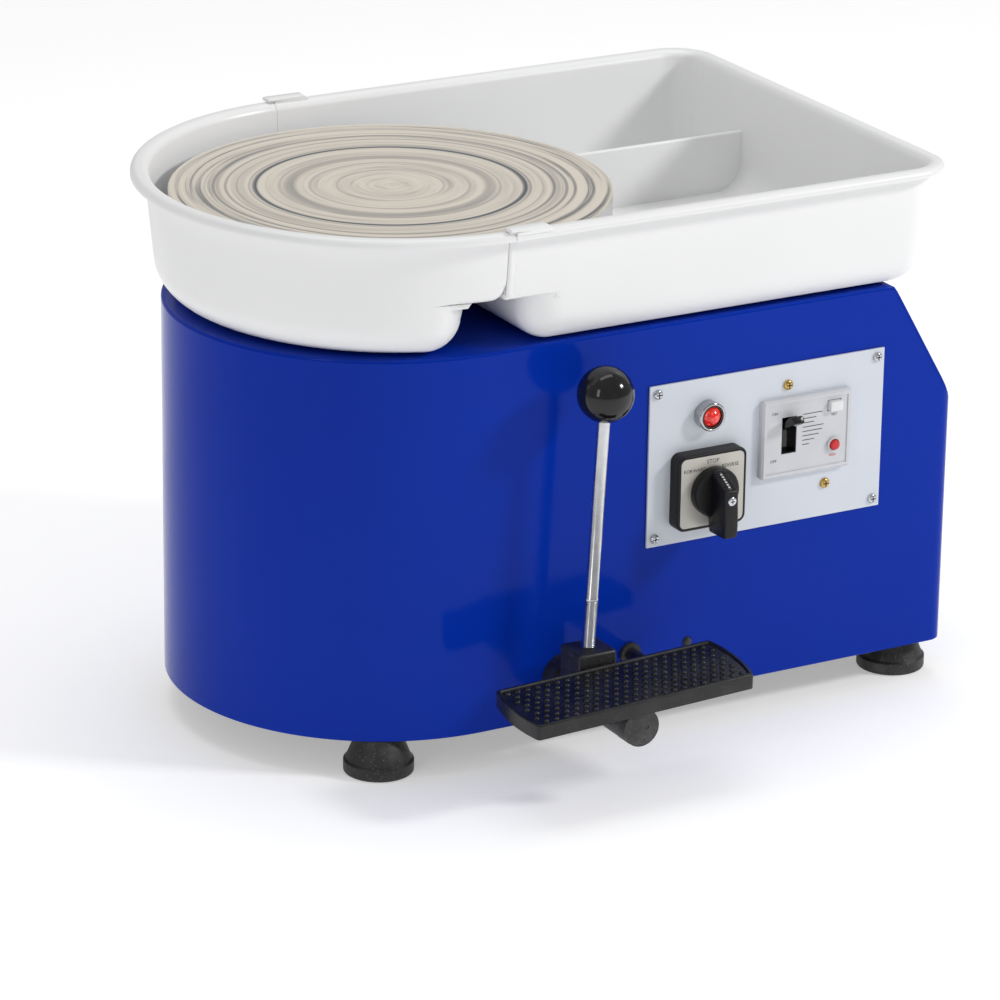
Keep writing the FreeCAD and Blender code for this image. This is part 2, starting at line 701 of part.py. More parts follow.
def pan_whole():
    """Both halves as one shell with its rim, tunnel, shaft hole and divider."""
    outside = pan_outside(0, PAN_Z).cut(tunnel(0))
    inside = pan_outside(PAN_T, PAN_Z + PAN_T).cut(tunnel(PAN_T))
    shell = outside.cut(inside)
    low = PAN_RIM_Z - PAN_RIM_H
    rim = rim_solid(0, low, PAN_RIM_H)
    inner_corner = PAN_CORNER_R - PAN_T
    inner_end = PAN_TOP_END - PAN_T
    hollow = plan_solid(PAN_TOP_HALF - PAN_T, PAN_ROUND_X, inner_end, inner_corner, low - 1, PAN_RIM_H + 2)
    underside = rim_solid(2, low - 1, PAN_RIM_H - 2)
    rim = rim.cut(hollow).cut(underside.cut(outside))
    floor = TUNNEL_Z + PAN_T
    lip = tube(PAN_HOLE_R + LIP_T, PAN_HOLE_R, (0, 0, TUNNEL_Z), PAN_T + LIP_H)
    end_x = PAN_TOP_END - PAN_T / 2
    divider_y = (DIVIDER_Y - PAN_T / 2, DIVIDER_Y + PAN_T / 2)
    divider = box((DIVIDER_X, end_x), divider_y, (PAN_Z + PAN_T / 2, DIVIDER_TOP))
    divider = divider.common(outside)
    whole = joined([shell, rim, lip, divider])
    return whole.cut(rod(PAN_HOLE_R, (0, 0, 0), floor + LIP_H + 1))


def pan_half(front):
    """One half of the pan, cut at the joint with a small gap between the halves."""
    far = 400.0
    x = (-far, JOINT_X - PAN_GAP / 2) if front else (JOINT_X + PAN_GAP / 2, far)
    return PAN.common(box(x, (-far, far), (-far, far)))


def pan_front():
    """Front half: the round bowl."""
    return pan_half(True)


def pan_rear():
    """Rear half: the tray, its divider and the tabs that lie over the front rim."""
    half = pan_half(False)
    tabs = []
    for side in (-1, 1):
        outer = PAN_TOP_HALF + PAN_RIM_W
        y = (outer - TAB_W, outer) if side > 0 else (-outer, TAB_W - outer)
        low = PAN_RIM_Z + PAN_GAP
        end = JOINT_X + TAB_L - TAB_NOSE
        tabs.append(box((JOINT_X - TAB_NOSE, end), y, (low, PAN_RIM_Z + TAB_T)))
        tabs.append(box((JOINT_X + PAN_GAP, end), y, (PAN_RIM_Z - 2, PAN_RIM_Z + TAB_T)))
        wall = (PAN_TOP_HALF - 2, PAN_TOP_HALF + 2) if side > 0 else (-PAN_TOP_HALF - 2, 2 - PAN_TOP_HALF)
        tabs.append(box((JOINT_X + PAN_GAP, JOINT_X + 4), wall, (TUNNEL_Z + 4, PAN_RIM_Z)))
    return joined([half] + tabs)


# Control panel ---------------------------------------------------------------

def plate_corners():
    """Screw places in the corners of the panel plate."""
    xs = (PLATE_X[0] + PLATE_INSET, PLATE_X[1] - PLATE_INSET)
    zs = (PLATE_Z[0] + PLATE_INSET, PLATE_Z[1] - PLATE_INSET)
    return [(x, z) for x in xs for z in zs]


def control_plate():
    """The light plate with its openings."""
    plate = box(PLATE_X, (PLATE_Y, FACE_Y), PLATE_Z)
    cuts = [switch_window(0.0), breaker_window(0.0)]
    cuts.append(rod(6.0, (LAMP[0], FACE_Y - 5, LAMP[1]), 10, Y_AXIS))
    cuts += [rod(1.5, (x, FACE_Y - 5, z), 10, Y_AXIS) for x, z in plate_corners()]
    cuts += [rod(2.0, (x, FACE_Y - 5, z), 10, Y_AXIS) for x, z in BRASS_SCREWS]
    return plate.cut(cuts)


def plate_screws():
    """Cross-head screws in the corners of the plate."""
    screws = [pan_head(x, PLATE_Y, z, V(0, -1, 0), 1.5, 6) for x, z in plate_corners()]
    return Part.makeCompound(screws)


def breaker_screws():
    """Two brass screws that hold the breaker's strap."""
    screws = [pan_head(x, PLATE_Y, z, V(0, -1, 0), 1.6, 6) for x, z in BRASS_SCREWS]
    return Part.makeCompound(screws)


def lamp_bezel():
    """Ring of the pilot lamp with the barrel behind the plate."""
    points = [(0, -24), (6, -24), (6, 0), (LAMP_R, 0), (LAMP_R, LAMP_H - 1), (LAMP_R - 0.8, LAMP_H),
              (6.8, LAMP_H), (6.3, LAMP_H - 1.5), (6.3, 0.5), (0, 0.5)]
    return turned(points, (LAMP[0], PLATE_Y, LAMP[1]), V(0, -1, 0))


def lamp_lens():
    """Domed red lens inside the ring."""
    points = [(0, 0.5), (6.3, 0.5), (6.3, LAMP_H - 1.5), (5.0, LAMP_H - 0.2), (2.5, LAMP_H + 0.6),
              (0, LAMP_H + 0.8)]
    return turned(points, (LAMP[0], PLATE_Y, LAMP[1]), V(0, -1, 0))


def switch_base():
    """Black square base of the cam switch with a bore for its spindle."""
    half = SWITCH_SIDE / 2
    x = (SWITCH[0] - half, SWITCH[0] + half)
    z = (SWITCH[1] - half, SWITCH[1] + half)
    block = rounded_block(x, z, PLATE_Y - SWITCH_T, PLATE_Y, SWITCH_CORNER)
    rim = [e for e in block.Edges if e.BoundBox.YMax < PLATE_Y - SWITCH_T + 0.01]
    block = block.makeChamfer(0.8, rim)
    inner = FACE_SIDE / 2
    pocket_x = (SWITCH[0] - inner, SWITCH[0] + inner)
    pocket_z = (SWITCH[1] - inner, SWITCH[1] + inner)
    front = PLATE_Y - SWITCH_T
    pocket = rounded_block(pocket_x, pocket_z, front - 1, front + FACE_T, SWITCH_CORNER - 1.8)
    return block.cut([pocket, rod(4.0 + RUNNING_GAP, (SWITCH[0], front - 1, SWITCH[1]), 20, Y_AXIS)])


def switch_face():
    """Cream printed plate let into the base."""
    inner = FACE_SIDE / 2
    x = (SWITCH[0] - inner, SWITCH[0] + inner)
    z = (SWITCH[1] - inner, SWITCH[1] + inner)
    front = PLATE_Y - SWITCH_T
    plate = rounded_block(x, z, front, front + FACE_T, SWITCH_CORNER - 1.8)
    return plate.cut(rod(5.0, (SWITCH[0], front - 1, SWITCH[1]), 20, Y_AXIS))


def switch_block():
    """Contact stack of the cam switch behind the front face."""
    half = SWITCH_BLOCK / 2
    x = (SWITCH[0] - half, SWITCH[0] + half)
    z = (SWITCH[1] - half, SWITCH[1] + half)
    block = box(x, (PLATE_Y, PLATE_Y + 48), z)
    return block.cut(rod(4.0 + RUNNING_GAP, (SWITCH[0], PLATE_Y - 1, SWITCH[1]), 40, Y_AXIS))


def switch_spindle():
    """Spindle of the cam switch, with a step that the knob seats on."""
    front = PLATE_Y - SWITCH_T - KNOB_GAP - 8
    return rod(4.0, (SWITCH[0], front, SWITCH[1]), 44, Y_AXIS)


def switch_knob():
    """Pointer knob: a round skirt and a tall grip that runs from the pointer to the tail."""
    back = PLATE_Y - SWITCH_T - KNOB_GAP
    skirt = [(0, 0), (KNOB_R, 0), (KNOB_R, KNOB_DISC_T - 2), (KNOB_R - 2, KNOB_DISC_T), (0, KNOB_DISC_T)]
    disc = turned(skirt, (SWITCH[0], back, SWITCH[1]), V(0, -1, 0))
    nose = KNOB_NOSE
    side = [V(0, 0, nose), V(0, -KNOB_DISC_T, nose), V(0, -KNOB_H, 4.5),
            V(0, -KNOB_H - 0.5, -KNOB_TAIL + 0.6), V(0, -4, -KNOB_TAIL), V(0, -2, -KNOB_R), V(0, 0, -KNOB_R + 1)]
    face = Part.Face(Part.makePolygon(side + [side[0]]))
    grip = face.extrude(V(KNOB_GRIP_W, 0, 0))
    grip.translate(V(SWITCH[0] - KNOB_GRIP_W / 2, back, SWITCH[1]))
    knob = joined([disc, grip])
    bore = rod(4.0, (SWITCH[0], back - 8, SWITCH[1]), 20, Y_AXIS)
    well = rod(3.0, (SWITCH[0], back - KNOB_H - 2, SWITCH[1]), 6, Y_AXIS)
    return knob.cut([bore, well])


def knob_screw():
    """Screw at the bottom of the knob's well."""
    y = PLATE_Y - SWITCH_T - KNOB_GAP - KNOB_H + 4
    screw = pan_head(SWITCH[0], y, SWITCH[1], V(0, -1, 0), 1.4, 0.4)
    return screw.common(box((0, 300), (-300, y), (-300, 300)))


def breaker_bezel():
    """White bezel of the breaker: a face set below its edge and a ring for the reset button."""
    front = PLATE_Y - BREAKER_T
    block = rounded_block(BREAKER_X, BREAKER_Z, front, PLATE_Y, 2.0)
    rim = [e for e in block.Edges if e.BoundBox.YMax < front + 0.01]
    block = block.makeChamfer(1.2, rim)
    x = (BREAKER_X[0] + BREAKER_BORDER, BREAKER_X[1] - BREAKER_BORDER)
    z = (BREAKER_Z[0] + BREAKER_BORDER, BREAKER_Z[1] - BREAKER_BORDER)
    pocket = box(x, (front - 1, front + BREAKER_RECESS), z)
    seat = front + BREAKER_RECESS
    ring = tube(4.3, RESET_R + 0.4, (RESET_BUTTON[0], seat - 1.6, RESET_BUTTON[1]), 2.6, Y_AXIS)
    return joined([block.cut([pocket] + breaker_holes()), ring])


def breaker_holes():
    """Openings for the toggle and the two buttons."""
    y = (PLATE_Y - 10, PLATE_Y + 14)
    half_x = TEST_SIZE[0] / 2 + 0.4
    half_z = TEST_SIZE[1] / 2 + 0.4
    slot = box(SLOT_X, y, SLOT_Z)
    test_x = (TEST_BUTTON[0] - half_x, TEST_BUTTON[0] + half_x)
    test_z = (TEST_BUTTON[1] - half_z, TEST_BUTTON[1] + half_z)
    test = box(test_x, y, test_z)
    reset = rod(RESET_R + 0.4, (RESET_BUTTON[0], y[0], RESET_BUTTON[1]), y[1] - y[0], Y_AXIS)
    return [slot, test, reset]


def breaker_body():
    """Case of the breaker behind the plate."""
    x = (BREAKER_X[0] + 5, BREAKER_X[1] - 5)
    z = (BREAKER_Z[0] + 3, BREAKER_Z[1] - 3)
    case = box(x, (PLATE_Y, PLATE_Y + 42), z)
    return case.cut(breaker_holes())


def breaker_toggle():
    """Rocker handle in the slot, thrown up at rest."""
    middle = (SLOT_Z[0] + SLOT_Z[1]) / 2
    centre = (SLOT_X[0] + SLOT_X[1]) / 2
    x = (centre - TOGGLE_HALF_W, centre + TOGGLE_HALF_W)
    barrel = rod(4.6, (x[0], TOGGLE_PIVOT_Y, middle), x[1] - x[0], X_AXIS)
    arm = box(x, (TOGGLE_PIVOT_Y - TOGGLE_L, TOGGLE_PIVOT_Y), (middle - 2.2, middle + 2.2))
    handle = joined([barrel, arm])
    handle.rotate(V(0, TOGGLE_PIVOT_Y, middle), X_AXIS, -TOGGLE_DEG)
    return handle


def test_button():
    """White test key."""
    x = (TEST_BUTTON[0] - TEST_SIZE[0] / 2, TEST_BUTTON[0] + TEST_SIZE[0] / 2)
    z = (TEST_BUTTON[1] - TEST_SIZE[1] / 2, TEST_BUTTON[1] + TEST_SIZE[1] / 2)
    return box(x, (PLATE_Y - BREAKER_T - 2.6, PLATE_Y + 6), z)


def reset_button():
    """Red reset button with a domed end."""
    length = BREAKER_T + 8.4
    points = [(0, 0), (RESET_R, 0), (RESET_R, length - 0.8), (RESET_R - 0.8, length), (0, length + 0.3)]
    return turned(points, (RESET_BUTTON[0], PLATE_Y + 6, RESET_BUTTON[1]), V(0, -1, 0))


# Lever and pedal -------------------------------------------------------------

def pivot_shaft():
    """Shaft that the lever and the pedal turn on, from the pedal's hub into the housing."""
    return rod(PIVOT_R, (PIVOT_X, PEDAL_FRONT_Y + 5, PIVOT_Z), POT_Y - 16 - PEDAL_FRONT_Y - 5, Y_AXIS)


def pivot_bush():
    """Flanged bush in the front wall."""
    flange = rod(14.0, (PIVOT_X, FACE_Y - BUSH_OUT, PIVOT_Z), BUSH_OUT, Y_AXIS)
    neck = rod(10.0, (PIVOT_X, FACE_Y, PIVOT_Z), 14, Y_AXIS)
    bush = flange.fuse(neck)
    return bush.cut(rod(PIVOT_R + RUNNING_GAP, (PIVOT_X, FACE_Y - BUSH_OUT - 1, PIVOT_Z), 40, Y_AXIS))


def friction_washer():
    """Spring washer between the bush and the block that holds the lever where it is put."""
    start = BLOCK_Y[1]
    return tube(10.0, PIVOT_R, (PIVOT_X, start, PIVOT_Z), FACE_Y - BUSH_OUT - 0.3 - start, Y_AXIS)


def lever_block():
    """Clamp block on the shaft that takes the lever."""
    half = BLOCK_W / 2
    block = box((PIVOT_X - 1 - half, PIVOT_X - 1 + half), BLOCK_Y, (BLOCK_BOTTOM, BLOCK_TOP))
    upright = [e for e in block.Edges if abs(e.tangentAt(e.FirstParameter).z) > 0.99]
    edges = upright + [e for e in block.Edges if e.BoundBox.ZMin > BLOCK_TOP - 0.1]
    block = block.makeFillet(2.0, edges)
    cuts = [rod(PIVOT_R, (PIVOT_X, BLOCK_Y[0] - 1, PIVOT_Z), 60, Y_AXIS), lever_solid(THREAD_R, -6, 30)]
    cuts.append(rod(2.5, (PIVOT_X - 40, -152.5, PIVOT_Z), 40, X_AXIS))
    return block.cut(cuts)


def lever_solid(radius, start, length):
    """A round bar on the lever's line; start counts up from the block's top."""
    bar = rod(radius, (0, 0, start), length)
    bar.rotate(V(0, 0, 0), Y_AXIS, ROD_LEAN)
    bar.translate(V(PIVOT_X - 0.6, ROD_Y, BLOCK_TOP))
    return bar


def ball_start():
    """Distance along the lever from the block's top to the middle of the ball."""
    return (BALL_Z - BLOCK_TOP) / math.cos(math.radians(ROD_LEAN))


def lever_rod():
    """Lever: a shank with a thicker rolled thread at its foot and one inside the ball."""
    reach = ball_start()
    shank = lever_solid(ROD_R, THREAD_L - 1, reach - THREAD_L + 1)
    thread = lever_solid(THREAD_R, -6, THREAD_L + 6)
    return joined([shank, thread])


def ball_knob():
    """Ball on the lever, flattened where the lever goes in."""
    reach = ball_start()
    ball = Part.makeSphere(BALL_R)
    ball = ball.common(box((-30, 30), (-30, 30), (-BALL_R + 1.2, 30)))
    ball = ball.cut(rod(ROD_R, (0, 0, -20), 20))
    ball.translate(V(0, 0, reach))
    ball.rotate(V(0, 0, 0), Y_AXIS, ROD_LEAN)
    ball.translate(V(PIVOT_X - 0.6, ROD_Y, BLOCK_TOP))
    return ball


def block_screws():
    """Grub screws that clamp the block and the hub to the shaft."""
    side = rod(2.5, (PIVOT_X - 1 - BLOCK_W / 2 + 1, -152.5, PIVOT_Z), BLOCK_W / 2 - PIVOT_R, X_AXIS)
    under = rod(2.5, (PIVOT_X, -190, PIVOT_Z - PEDAL_HUB_R + 0.6), PEDAL_HUB_R - PIVOT_R - 0.6)
    return Part.makeCompound([side, under])


def pad_outline(grow, z):
    """Outline of the pedal pad: straight long sides and bowed ends."""
    half = PAD_L / 2 + grow
    straight = half - PAD_END_BOW
    y0 = PAD_BACK_Y - PAD_W - grow
    y1 = PAD_BACK_Y + grow
    x = PAD_X
    middle = (y0 + y1) / 2
    edges = [
        Part.makeLine(V(x - straight, y0, z), V(x + straight, y0, z)),
        Part.Arc(V(x + straight, y0, z), V(x + half, middle, z), V(x + straight, y1, z)).toShape(),
        Part.makeLine(V(x + straight, y1, z), V(x - straight, y1, z)),
        Part.Arc(V(x - straight, y1, z), V(x - half, middle, z), V(x - straight, y0, z)).toShape(),
    ]
    return Part.Face(Part.Wire(edges))


def pad_cap():
    """The pad without its bumps, with a sunk top and a hollow for the plate."""
    low = PAD_TOP - PAD_T
    cap = pad_outline(0, low).extrude(V(0, 0, PAD_T))
    sunk = pad_outline(-PAD_BORDER, PAD_TOP - PAD_RECESS).extrude(V(0, 0, 5))
    hollow = pad_outline(-2.5, low - 1).extrude(V(0, 0, 1 + PEDAL_PLATE_T))
    return cap.cut(sunk).cut(hollow)


def leaned(shape):
    """A shape turned with the pad's top about the middle of its back edge."""
    place = V(PAD_X, PAD_BACK_Y, PAD_TOP)
    turned = shape.copy()
    turned.rotate(place, X_AXIS, PAD_PITCH)
    turned.rotate(place, Y_AXIS, -PAD_TILT)
    return turned


def pedal_pad():
    """Moulded pad: a cap with a raised border and staggered rows of bumps."""
    cap = pad_cap()
    bumps = []
    step_x = (PAD_L - 2 * PAD_BORDER - 14) / (BUMP_COLUMNS - 1)
    step_y = (PAD_W - 2 * PAD_BORDER - 6) / (BUMP_ROWS - 1)
    for row in range(BUMP_ROWS):
        shift = step_x / 4 if row % 2 else -step_x / 4
        y = PAD_BACK_Y - PAD_BORDER - 3 - row * step_y
        for column in range(BUMP_COLUMNS):
            x = PAD_X + (column - (BUMP_COLUMNS - 1) / 2) * step_x + shift
            bumps.append(bump(x, y))
    return leaned(cap.fuse(bumps))


def bump(x, y):
    """One low dome on the pad."""
    height = 1.0
    radius = (BUMP_R ** 2 + height ** 2) / (2 * height)
    ball = Part.makeSphere(radius)
    ball.translate(V(x, y, PAD_TOP - PAD_RECESS + height - radius))
    floor = PAD_TOP - PAD_RECESS - 0.3
    return ball.common(box((x - 3, x + 3), (y - 3, y + 3), (floor, floor + 4)))


def pedal_bracket():
    """Steel plate under the pad with the hub and a tapered rib."""
    low = PAD_TOP - PAD_T
    plate = pad_outline(-2.5, low).extrude(V(0, 0, PEDAL_PLATE_T))
    hub = rod(PEDAL_HUB_R, (PIVOT_X, PEDAL_FRONT_Y, PIVOT_Z), PAD_BACK_Y - 3 - PEDAL_FRONT_Y, Y_AXIS)
    neck = box((PIVOT_X - 8, PIVOT_X + 8), (PEDAL_FRONT_Y + 2, PAD_BACK_Y - 4), (PIVOT_Z, low + 1))
    ribs = []
    for side in (-1, 1):
        points = [V(PIVOT_X, 0, PIVOT_Z - 5), V(PIVOT_X + side * 34, 0, low + 0.5), V(PIVOT_X, 0, low + 0.5)]
        rib = Part.Face(Part.makePolygon(points + [points[0]]))
        rib.translate(V(0, -196, 0))
        ribs.append(rib.extrude(V(0, 8, 0)))
    bracket = joined([leaned(joined([plate, neck] + ribs)), hub])
    cuts = [rod(PIVOT_R, (PIVOT_X, PEDAL_FRONT_Y + 5, PIVOT_Z), 80, Y_AXIS)]
    cuts.append(rod(1.2, (PIVOT_X + 3.5, PEDAL_FRONT_Y - 1, PIVOT_Z), 4, Y_AXIS))
    cuts.append(rod(2.5, (PIVOT_X, -190, PIVOT_Z - 20), 20))
    cuts.append(leaned(pad_cap()))
    return bracket.cut(cuts)


def stop_bumper():
    """Fixed stop pin that the pedal's right side rests on."""
    pin = rod(STOP_R, (STOP_X, STOP_TIP_Y, STOP_Z), FACE_Y + SHEET + 8 - STOP_TIP_Y, Y_AXIS)
    nut = rod(8.0, (STOP_X, FACE_Y + SHEET, STOP_Z), 5, Y_AXIS)
    return joined([pin, nut])


def stop_grommet():
    """Rubber ring round the stop pin on the wall."""
    return tube(STOP_GROMMET_R, STOP_R, (STOP_X, FACE_Y - 2.5, STOP_Z), 2.5, Y_AXIS)


def pot_bracket():
    """Angle on the base plate that holds the potentiometer, with its screw in the wall."""
    low = FLOOR_Z + BASE_T
    foot = box((PIVOT_X - 20, PIVOT_X + 20), (POT_Y - 1, POT_Y + 26), (low, low + 2))
    back = box((PIVOT_X - 20, PIVOT_X + 20), (POT_Y - 3, POT_Y - 1), (low, PIVOT_Z + 20))
    return joined([foot, back]).cut(rod(4.0, (PIVOT_X, POT_Y - 10, PIVOT_Z), 20, Y_AXIS))


def potentiometer():
    """Speed potentiometer behind its angle; the bush clears the turning spindle."""
    body = rod(12.0, (PIVOT_X, POT_Y - 1, PIVOT_Z), 12, Y_AXIS)
    neck = rod(4.0, (PIVOT_X, POT_Y - 8, PIVOT_Z), 7, Y_AXIS)
    spindle = rod(3.0 + RUNNING_GAP, (PIVOT_X, POT_Y - 20, PIVOT_Z), 28, Y_AXIS)
    return joined([body, neck]).cut(spindle)


def shaft_coupling():
    """Sleeve and spindle that turn the potentiometer with the pivot shaft."""
    start = POT_Y - 26
    sleeve = tube(9.0, PIVOT_R, (PIVOT_X, start, PIVOT_Z), 10, Y_AXIS)
    end = rod(9.0, (PIVOT_X, start + 10, PIVOT_Z), 4, Y_AXIS)
    spindle = rod(3.0, (PIVOT_X, start + 12, PIVOT_Z), 20, Y_AXIS)
    return joined([sleeve, end, spindle])


def small_screw():
    """Button-head screw in the front face that holds the cable tie inside."""
    points = [(0, -8), (1.5, -8), (1.5, 0), (3.0, 0), (2.4, 1.2), (1.2, 1.8), (0, 1.9)]
    return turned(points, (SMALL_SCREW[0], FACE_Y, SMALL_SCREW[1]), V(0, -1, 0))


PAN = pan_whole()

HOUSING = {
    "side_wrap": side_wrap, "top_deck": top_deck, "base_plate": base_plate, "base_screws": base_screws,
    "rubber_feet": rubber_feet, "foot_screws": foot_screws, "cord_gland": cord_gland,
    "small_screw": small_screw,
}
DRIVE = {
    "wheel_head": wheel_head, "head_hub": head_hub, "hub_screws": hub_screws, "main_shaft": main_shaft,
    "circlip": circlip, "splash_collar": splash_collar, "bearing_housing": bearing_housing,
    "upper_bearing": upper_bearing, "lower_bearing": lower_bearing, "bearing_bolts": bearing_bolts,
    "driven_pulley": driven_pulley, "drive_belt": drive_belt, "motor_pulley": motor_pulley,
    "motor_shaft": motor_shaft, "motor_body": motor_body, "motor_bracket": motor_bracket,
    "motor_screws": motor_screws, "board_posts": board_posts, "controller_board": controller_board,
    "heat_sink": heat_sink,
}
PANS = {"splash_pan_front": pan_front, "splash_pan_rear": pan_rear}
CONTROLS = {
    "control_plate": control_plate, "plate_screws": plate_screws, "breaker_screws": breaker_screws,
    "lamp_bezel": lamp_bezel, "lamp_lens": lamp_lens, "switch_base": switch_base, "switch_face": switch_face,
    "switch_block": switch_block, "switch_spindle": switch_spindle, "switch_knob": switch_knob,
    "knob_screw": knob_screw, "breaker_bezel": breaker_bezel, "breaker_body": breaker_body,
    "breaker_toggle": breaker_toggle, "test_button": test_button, "reset_button": reset_button,
}
LEVER = {
    "pivot_shaft": pivot_shaft, "pivot_bush": pivot_bush, "friction_washer": friction_washer,
    "lever_block": lever_block, "block_screws": block_screws, "lever_rod": lever_rod, "ball_knob": ball_knob,
    "pedal_pad": pedal_pad, "pedal_bracket": pedal_bracket, "stop_bumper": stop_bumper,
    "stop_grommet": stop_grommet, "pot_bracket": pot_bracket, "potentiometer": potentiometer,
    "shaft_coupling": shaft_coupling,
}


def shift():
    """Move from the design frame to the middle of the footprint at the floor."""
    rim = PAN_TOP_HALF + PAN_RIM_W
    x = (PAN_ROUND_X - rim + END_X) / 2
    y = (PAD_BACK_Y - PAD_DEPTH + rim) / 2
    return V(-x, -y, BODY_H + FOOT_H)


def save(pieces):
    """Write each piece to its own file."""
    for name, make in pieces.items():
        shape = make()
        shape.translate(shift())
        shape.exportStep(f"parts/{name}.step")


os.makedirs("parts", exist_ok=True)
for group in (HOUSING, DRIVE, PANS, CONTROLS, LEVER):
    save(group)
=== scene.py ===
"""A small electric pottery wheel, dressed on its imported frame.

Sizes inside the classes are millimetres from the wheel axis (x = y = 0) and the
top of the deck (z = 0); Layout turns them into metres of the row frame.
"""
import logging
import math
from dataclasses import dataclass, field
from enum import Enum

import bmesh
import bpy
import numpy as np
from mathutils import Matrix, Vector


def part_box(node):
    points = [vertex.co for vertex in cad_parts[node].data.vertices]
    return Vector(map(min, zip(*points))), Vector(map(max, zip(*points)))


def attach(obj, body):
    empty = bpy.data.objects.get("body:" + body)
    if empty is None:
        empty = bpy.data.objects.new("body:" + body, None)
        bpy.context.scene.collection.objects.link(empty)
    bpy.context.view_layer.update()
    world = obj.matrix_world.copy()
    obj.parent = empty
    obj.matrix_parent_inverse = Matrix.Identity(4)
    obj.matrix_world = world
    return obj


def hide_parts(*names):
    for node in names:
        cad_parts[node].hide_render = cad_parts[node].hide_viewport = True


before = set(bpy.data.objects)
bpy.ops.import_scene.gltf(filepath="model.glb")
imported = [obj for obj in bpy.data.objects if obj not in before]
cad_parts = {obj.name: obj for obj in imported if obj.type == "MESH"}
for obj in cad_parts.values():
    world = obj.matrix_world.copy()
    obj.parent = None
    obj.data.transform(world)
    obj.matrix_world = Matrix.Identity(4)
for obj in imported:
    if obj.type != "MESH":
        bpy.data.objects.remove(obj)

LOG = logging.getLogger("pottery_wheel")
MM = 0.001
Pair = tuple[float, float]
Triple = tuple[float, float, float]
Colour = Triple
Points = np.ndarray
Piece = bpy.types.Object
Paint = bpy.types.Material
Socket = bpy.types.NodeSocket
Sockets = bpy.types.bpy_prop_collection
Tree = bpy.types.NodeTree
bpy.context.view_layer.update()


class Body(Enum):
    """Bodies of the frame that new pieces ride on."""

    HOUSING = "housing"
    WHEEL = "wheel"
    FRONT_PAN = "front_pan"
    REAR_PAN = "rear_pan"
    KNOB = "direction_knob"
    TOGGLE = "toggle"
    TEST = "test_key"
    RESET = "reset_key"
    PEDAL = "pedal"


class Side(Enum):
    """The two long sides of the machine, as the sign of Y."""

    CONTROLS = -1
    BACK = 1


# Places and outlines ---------------------------------------------------------

class Layout:
    """Where the wheel axis and the deck stand in the row frame."""

    def __init__(self) -> None:
        """Read the axis off the wheel head and the deck height off the deck."""
        head_low, head_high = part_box("wheel_head")
        deck_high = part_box("top_deck")[1]
        self.axis_x = (head_low[0] + head_high[0]) / 2
        self.axis_y = (head_low[1] + head_high[1]) / 2
        self.deck_z = deck_high[2]

    def place(self, points: Points) -> Points:
        """Turn millimetres of the machine into metres of the row frame.

        Args:
            points: Array whose last axis is x, y, z in millimetres.

        Returns:
            The same array in metres of the row frame.
        """
        return np.asarray(points, float) * MM + np.array([self.axis_x, self.axis_y, self.deck_z])


LAYOUT = Layout()


@dataclass(frozen=True)
class Axes:
    """A local frame: a place and three unit directions, all in the machine's axes."""

    origin: Triple
    right: Triple = (1.0, 0.0, 0.0)
    up: Triple = (0.0, 1.0, 0.0)
    out: Triple = (0.0, 0.0, 1.0)

    def carry(self, local: Points) -> Points:
        """Carry local points to the machine: origin + a * right + b * up + c * out."""
        turn = np.array([self.right, self.up, self.out])
        return np.asarray(local, float) @ turn + np.array(self.origin)


def facing_controls(x: float, z: float, y: float) -> Axes:
    """Axes that look out of the control side, right along +X and up along +Z."""
    return Axes((x, y, z), (1.0, 0.0, 0.0), (0.0, 0.0, 1.0), (0.0, -1.0, 0.0))


def arc(centre: Pair, radius: float, turns: Points) -> Points:
    """Points of an arc: centre + radius * (cos a, sin a)."""
    return np.array(centre) + radius * np.stack([np.cos(turns), np.sin(turns)], -1)


def turned(radius: Points, turns: Points, height: Points) -> Points:
    """Grid of (r cos a, r sin a, h), the three arrays broadcast together."""
    x, y = radius * np.cos(turns), radius * np.sin(turns)
    return np.stack([x, y, np.broadcast_to(height, x.shape)], -1)


def new_object(name: str, data: bpy.types.ID) -> Piece:
    """Make an object of some data and put it in the scene."""
    made = bpy.data.objects.new(name, data)
    bpy.context.scene.collection.objects.link(made)
    return made


@dataclass
class Outline:
    """A closed line in a plane with the outward direction at each of its points."""

    points: Points
    normals: Points

    def inset(self, depth: float) -> Points:
        """Points moved inwards along their outward directions by a depth."""
        return self.points - self.normals * depth


def rounded_rectangle(width: float, height: float, corner: float, steps: int = 8) -> Outline:
    """Rectangle with round corners.

    Each corner is centre + corner * (cos a, sin a) over a quarter turn, and the
    straight sides join one corner's end to the next one's start.

    Args:
        width: Full size along the first axis.
        height: Full size along the second axis.
        corner: Radius of the corners.
        steps: Steps in each quarter turn.

    Returns:
        The outline, anticlockwise.
    """
    angles = np.linspace(0, math.pi / 2, steps + 1)
    turns = np.concatenate([angles + k * math.pi / 2 for k in range(4)])
    normals = arc((0.0, 0.0), 1.0, turns)
    signs = np.repeat(np.array([[1, 1], [-1, 1], [-1, -1], [1, -1]]), steps + 1, axis=0)
    centres = signs * np.array([width / 2 - corner, height / 2 - corner])
    return Outline(centres + corner * normals, normals)


def circle(radius: float, steps: int = 64) -> Outline:
    """Circle as radius * (cos a, sin a)."""
    turns = np.linspace(0, 2 * math.pi, steps, endpoint=False)
    normals = arc((0.0, 0.0), 1.0, turns)
    return Outline(radius * normals, normals)


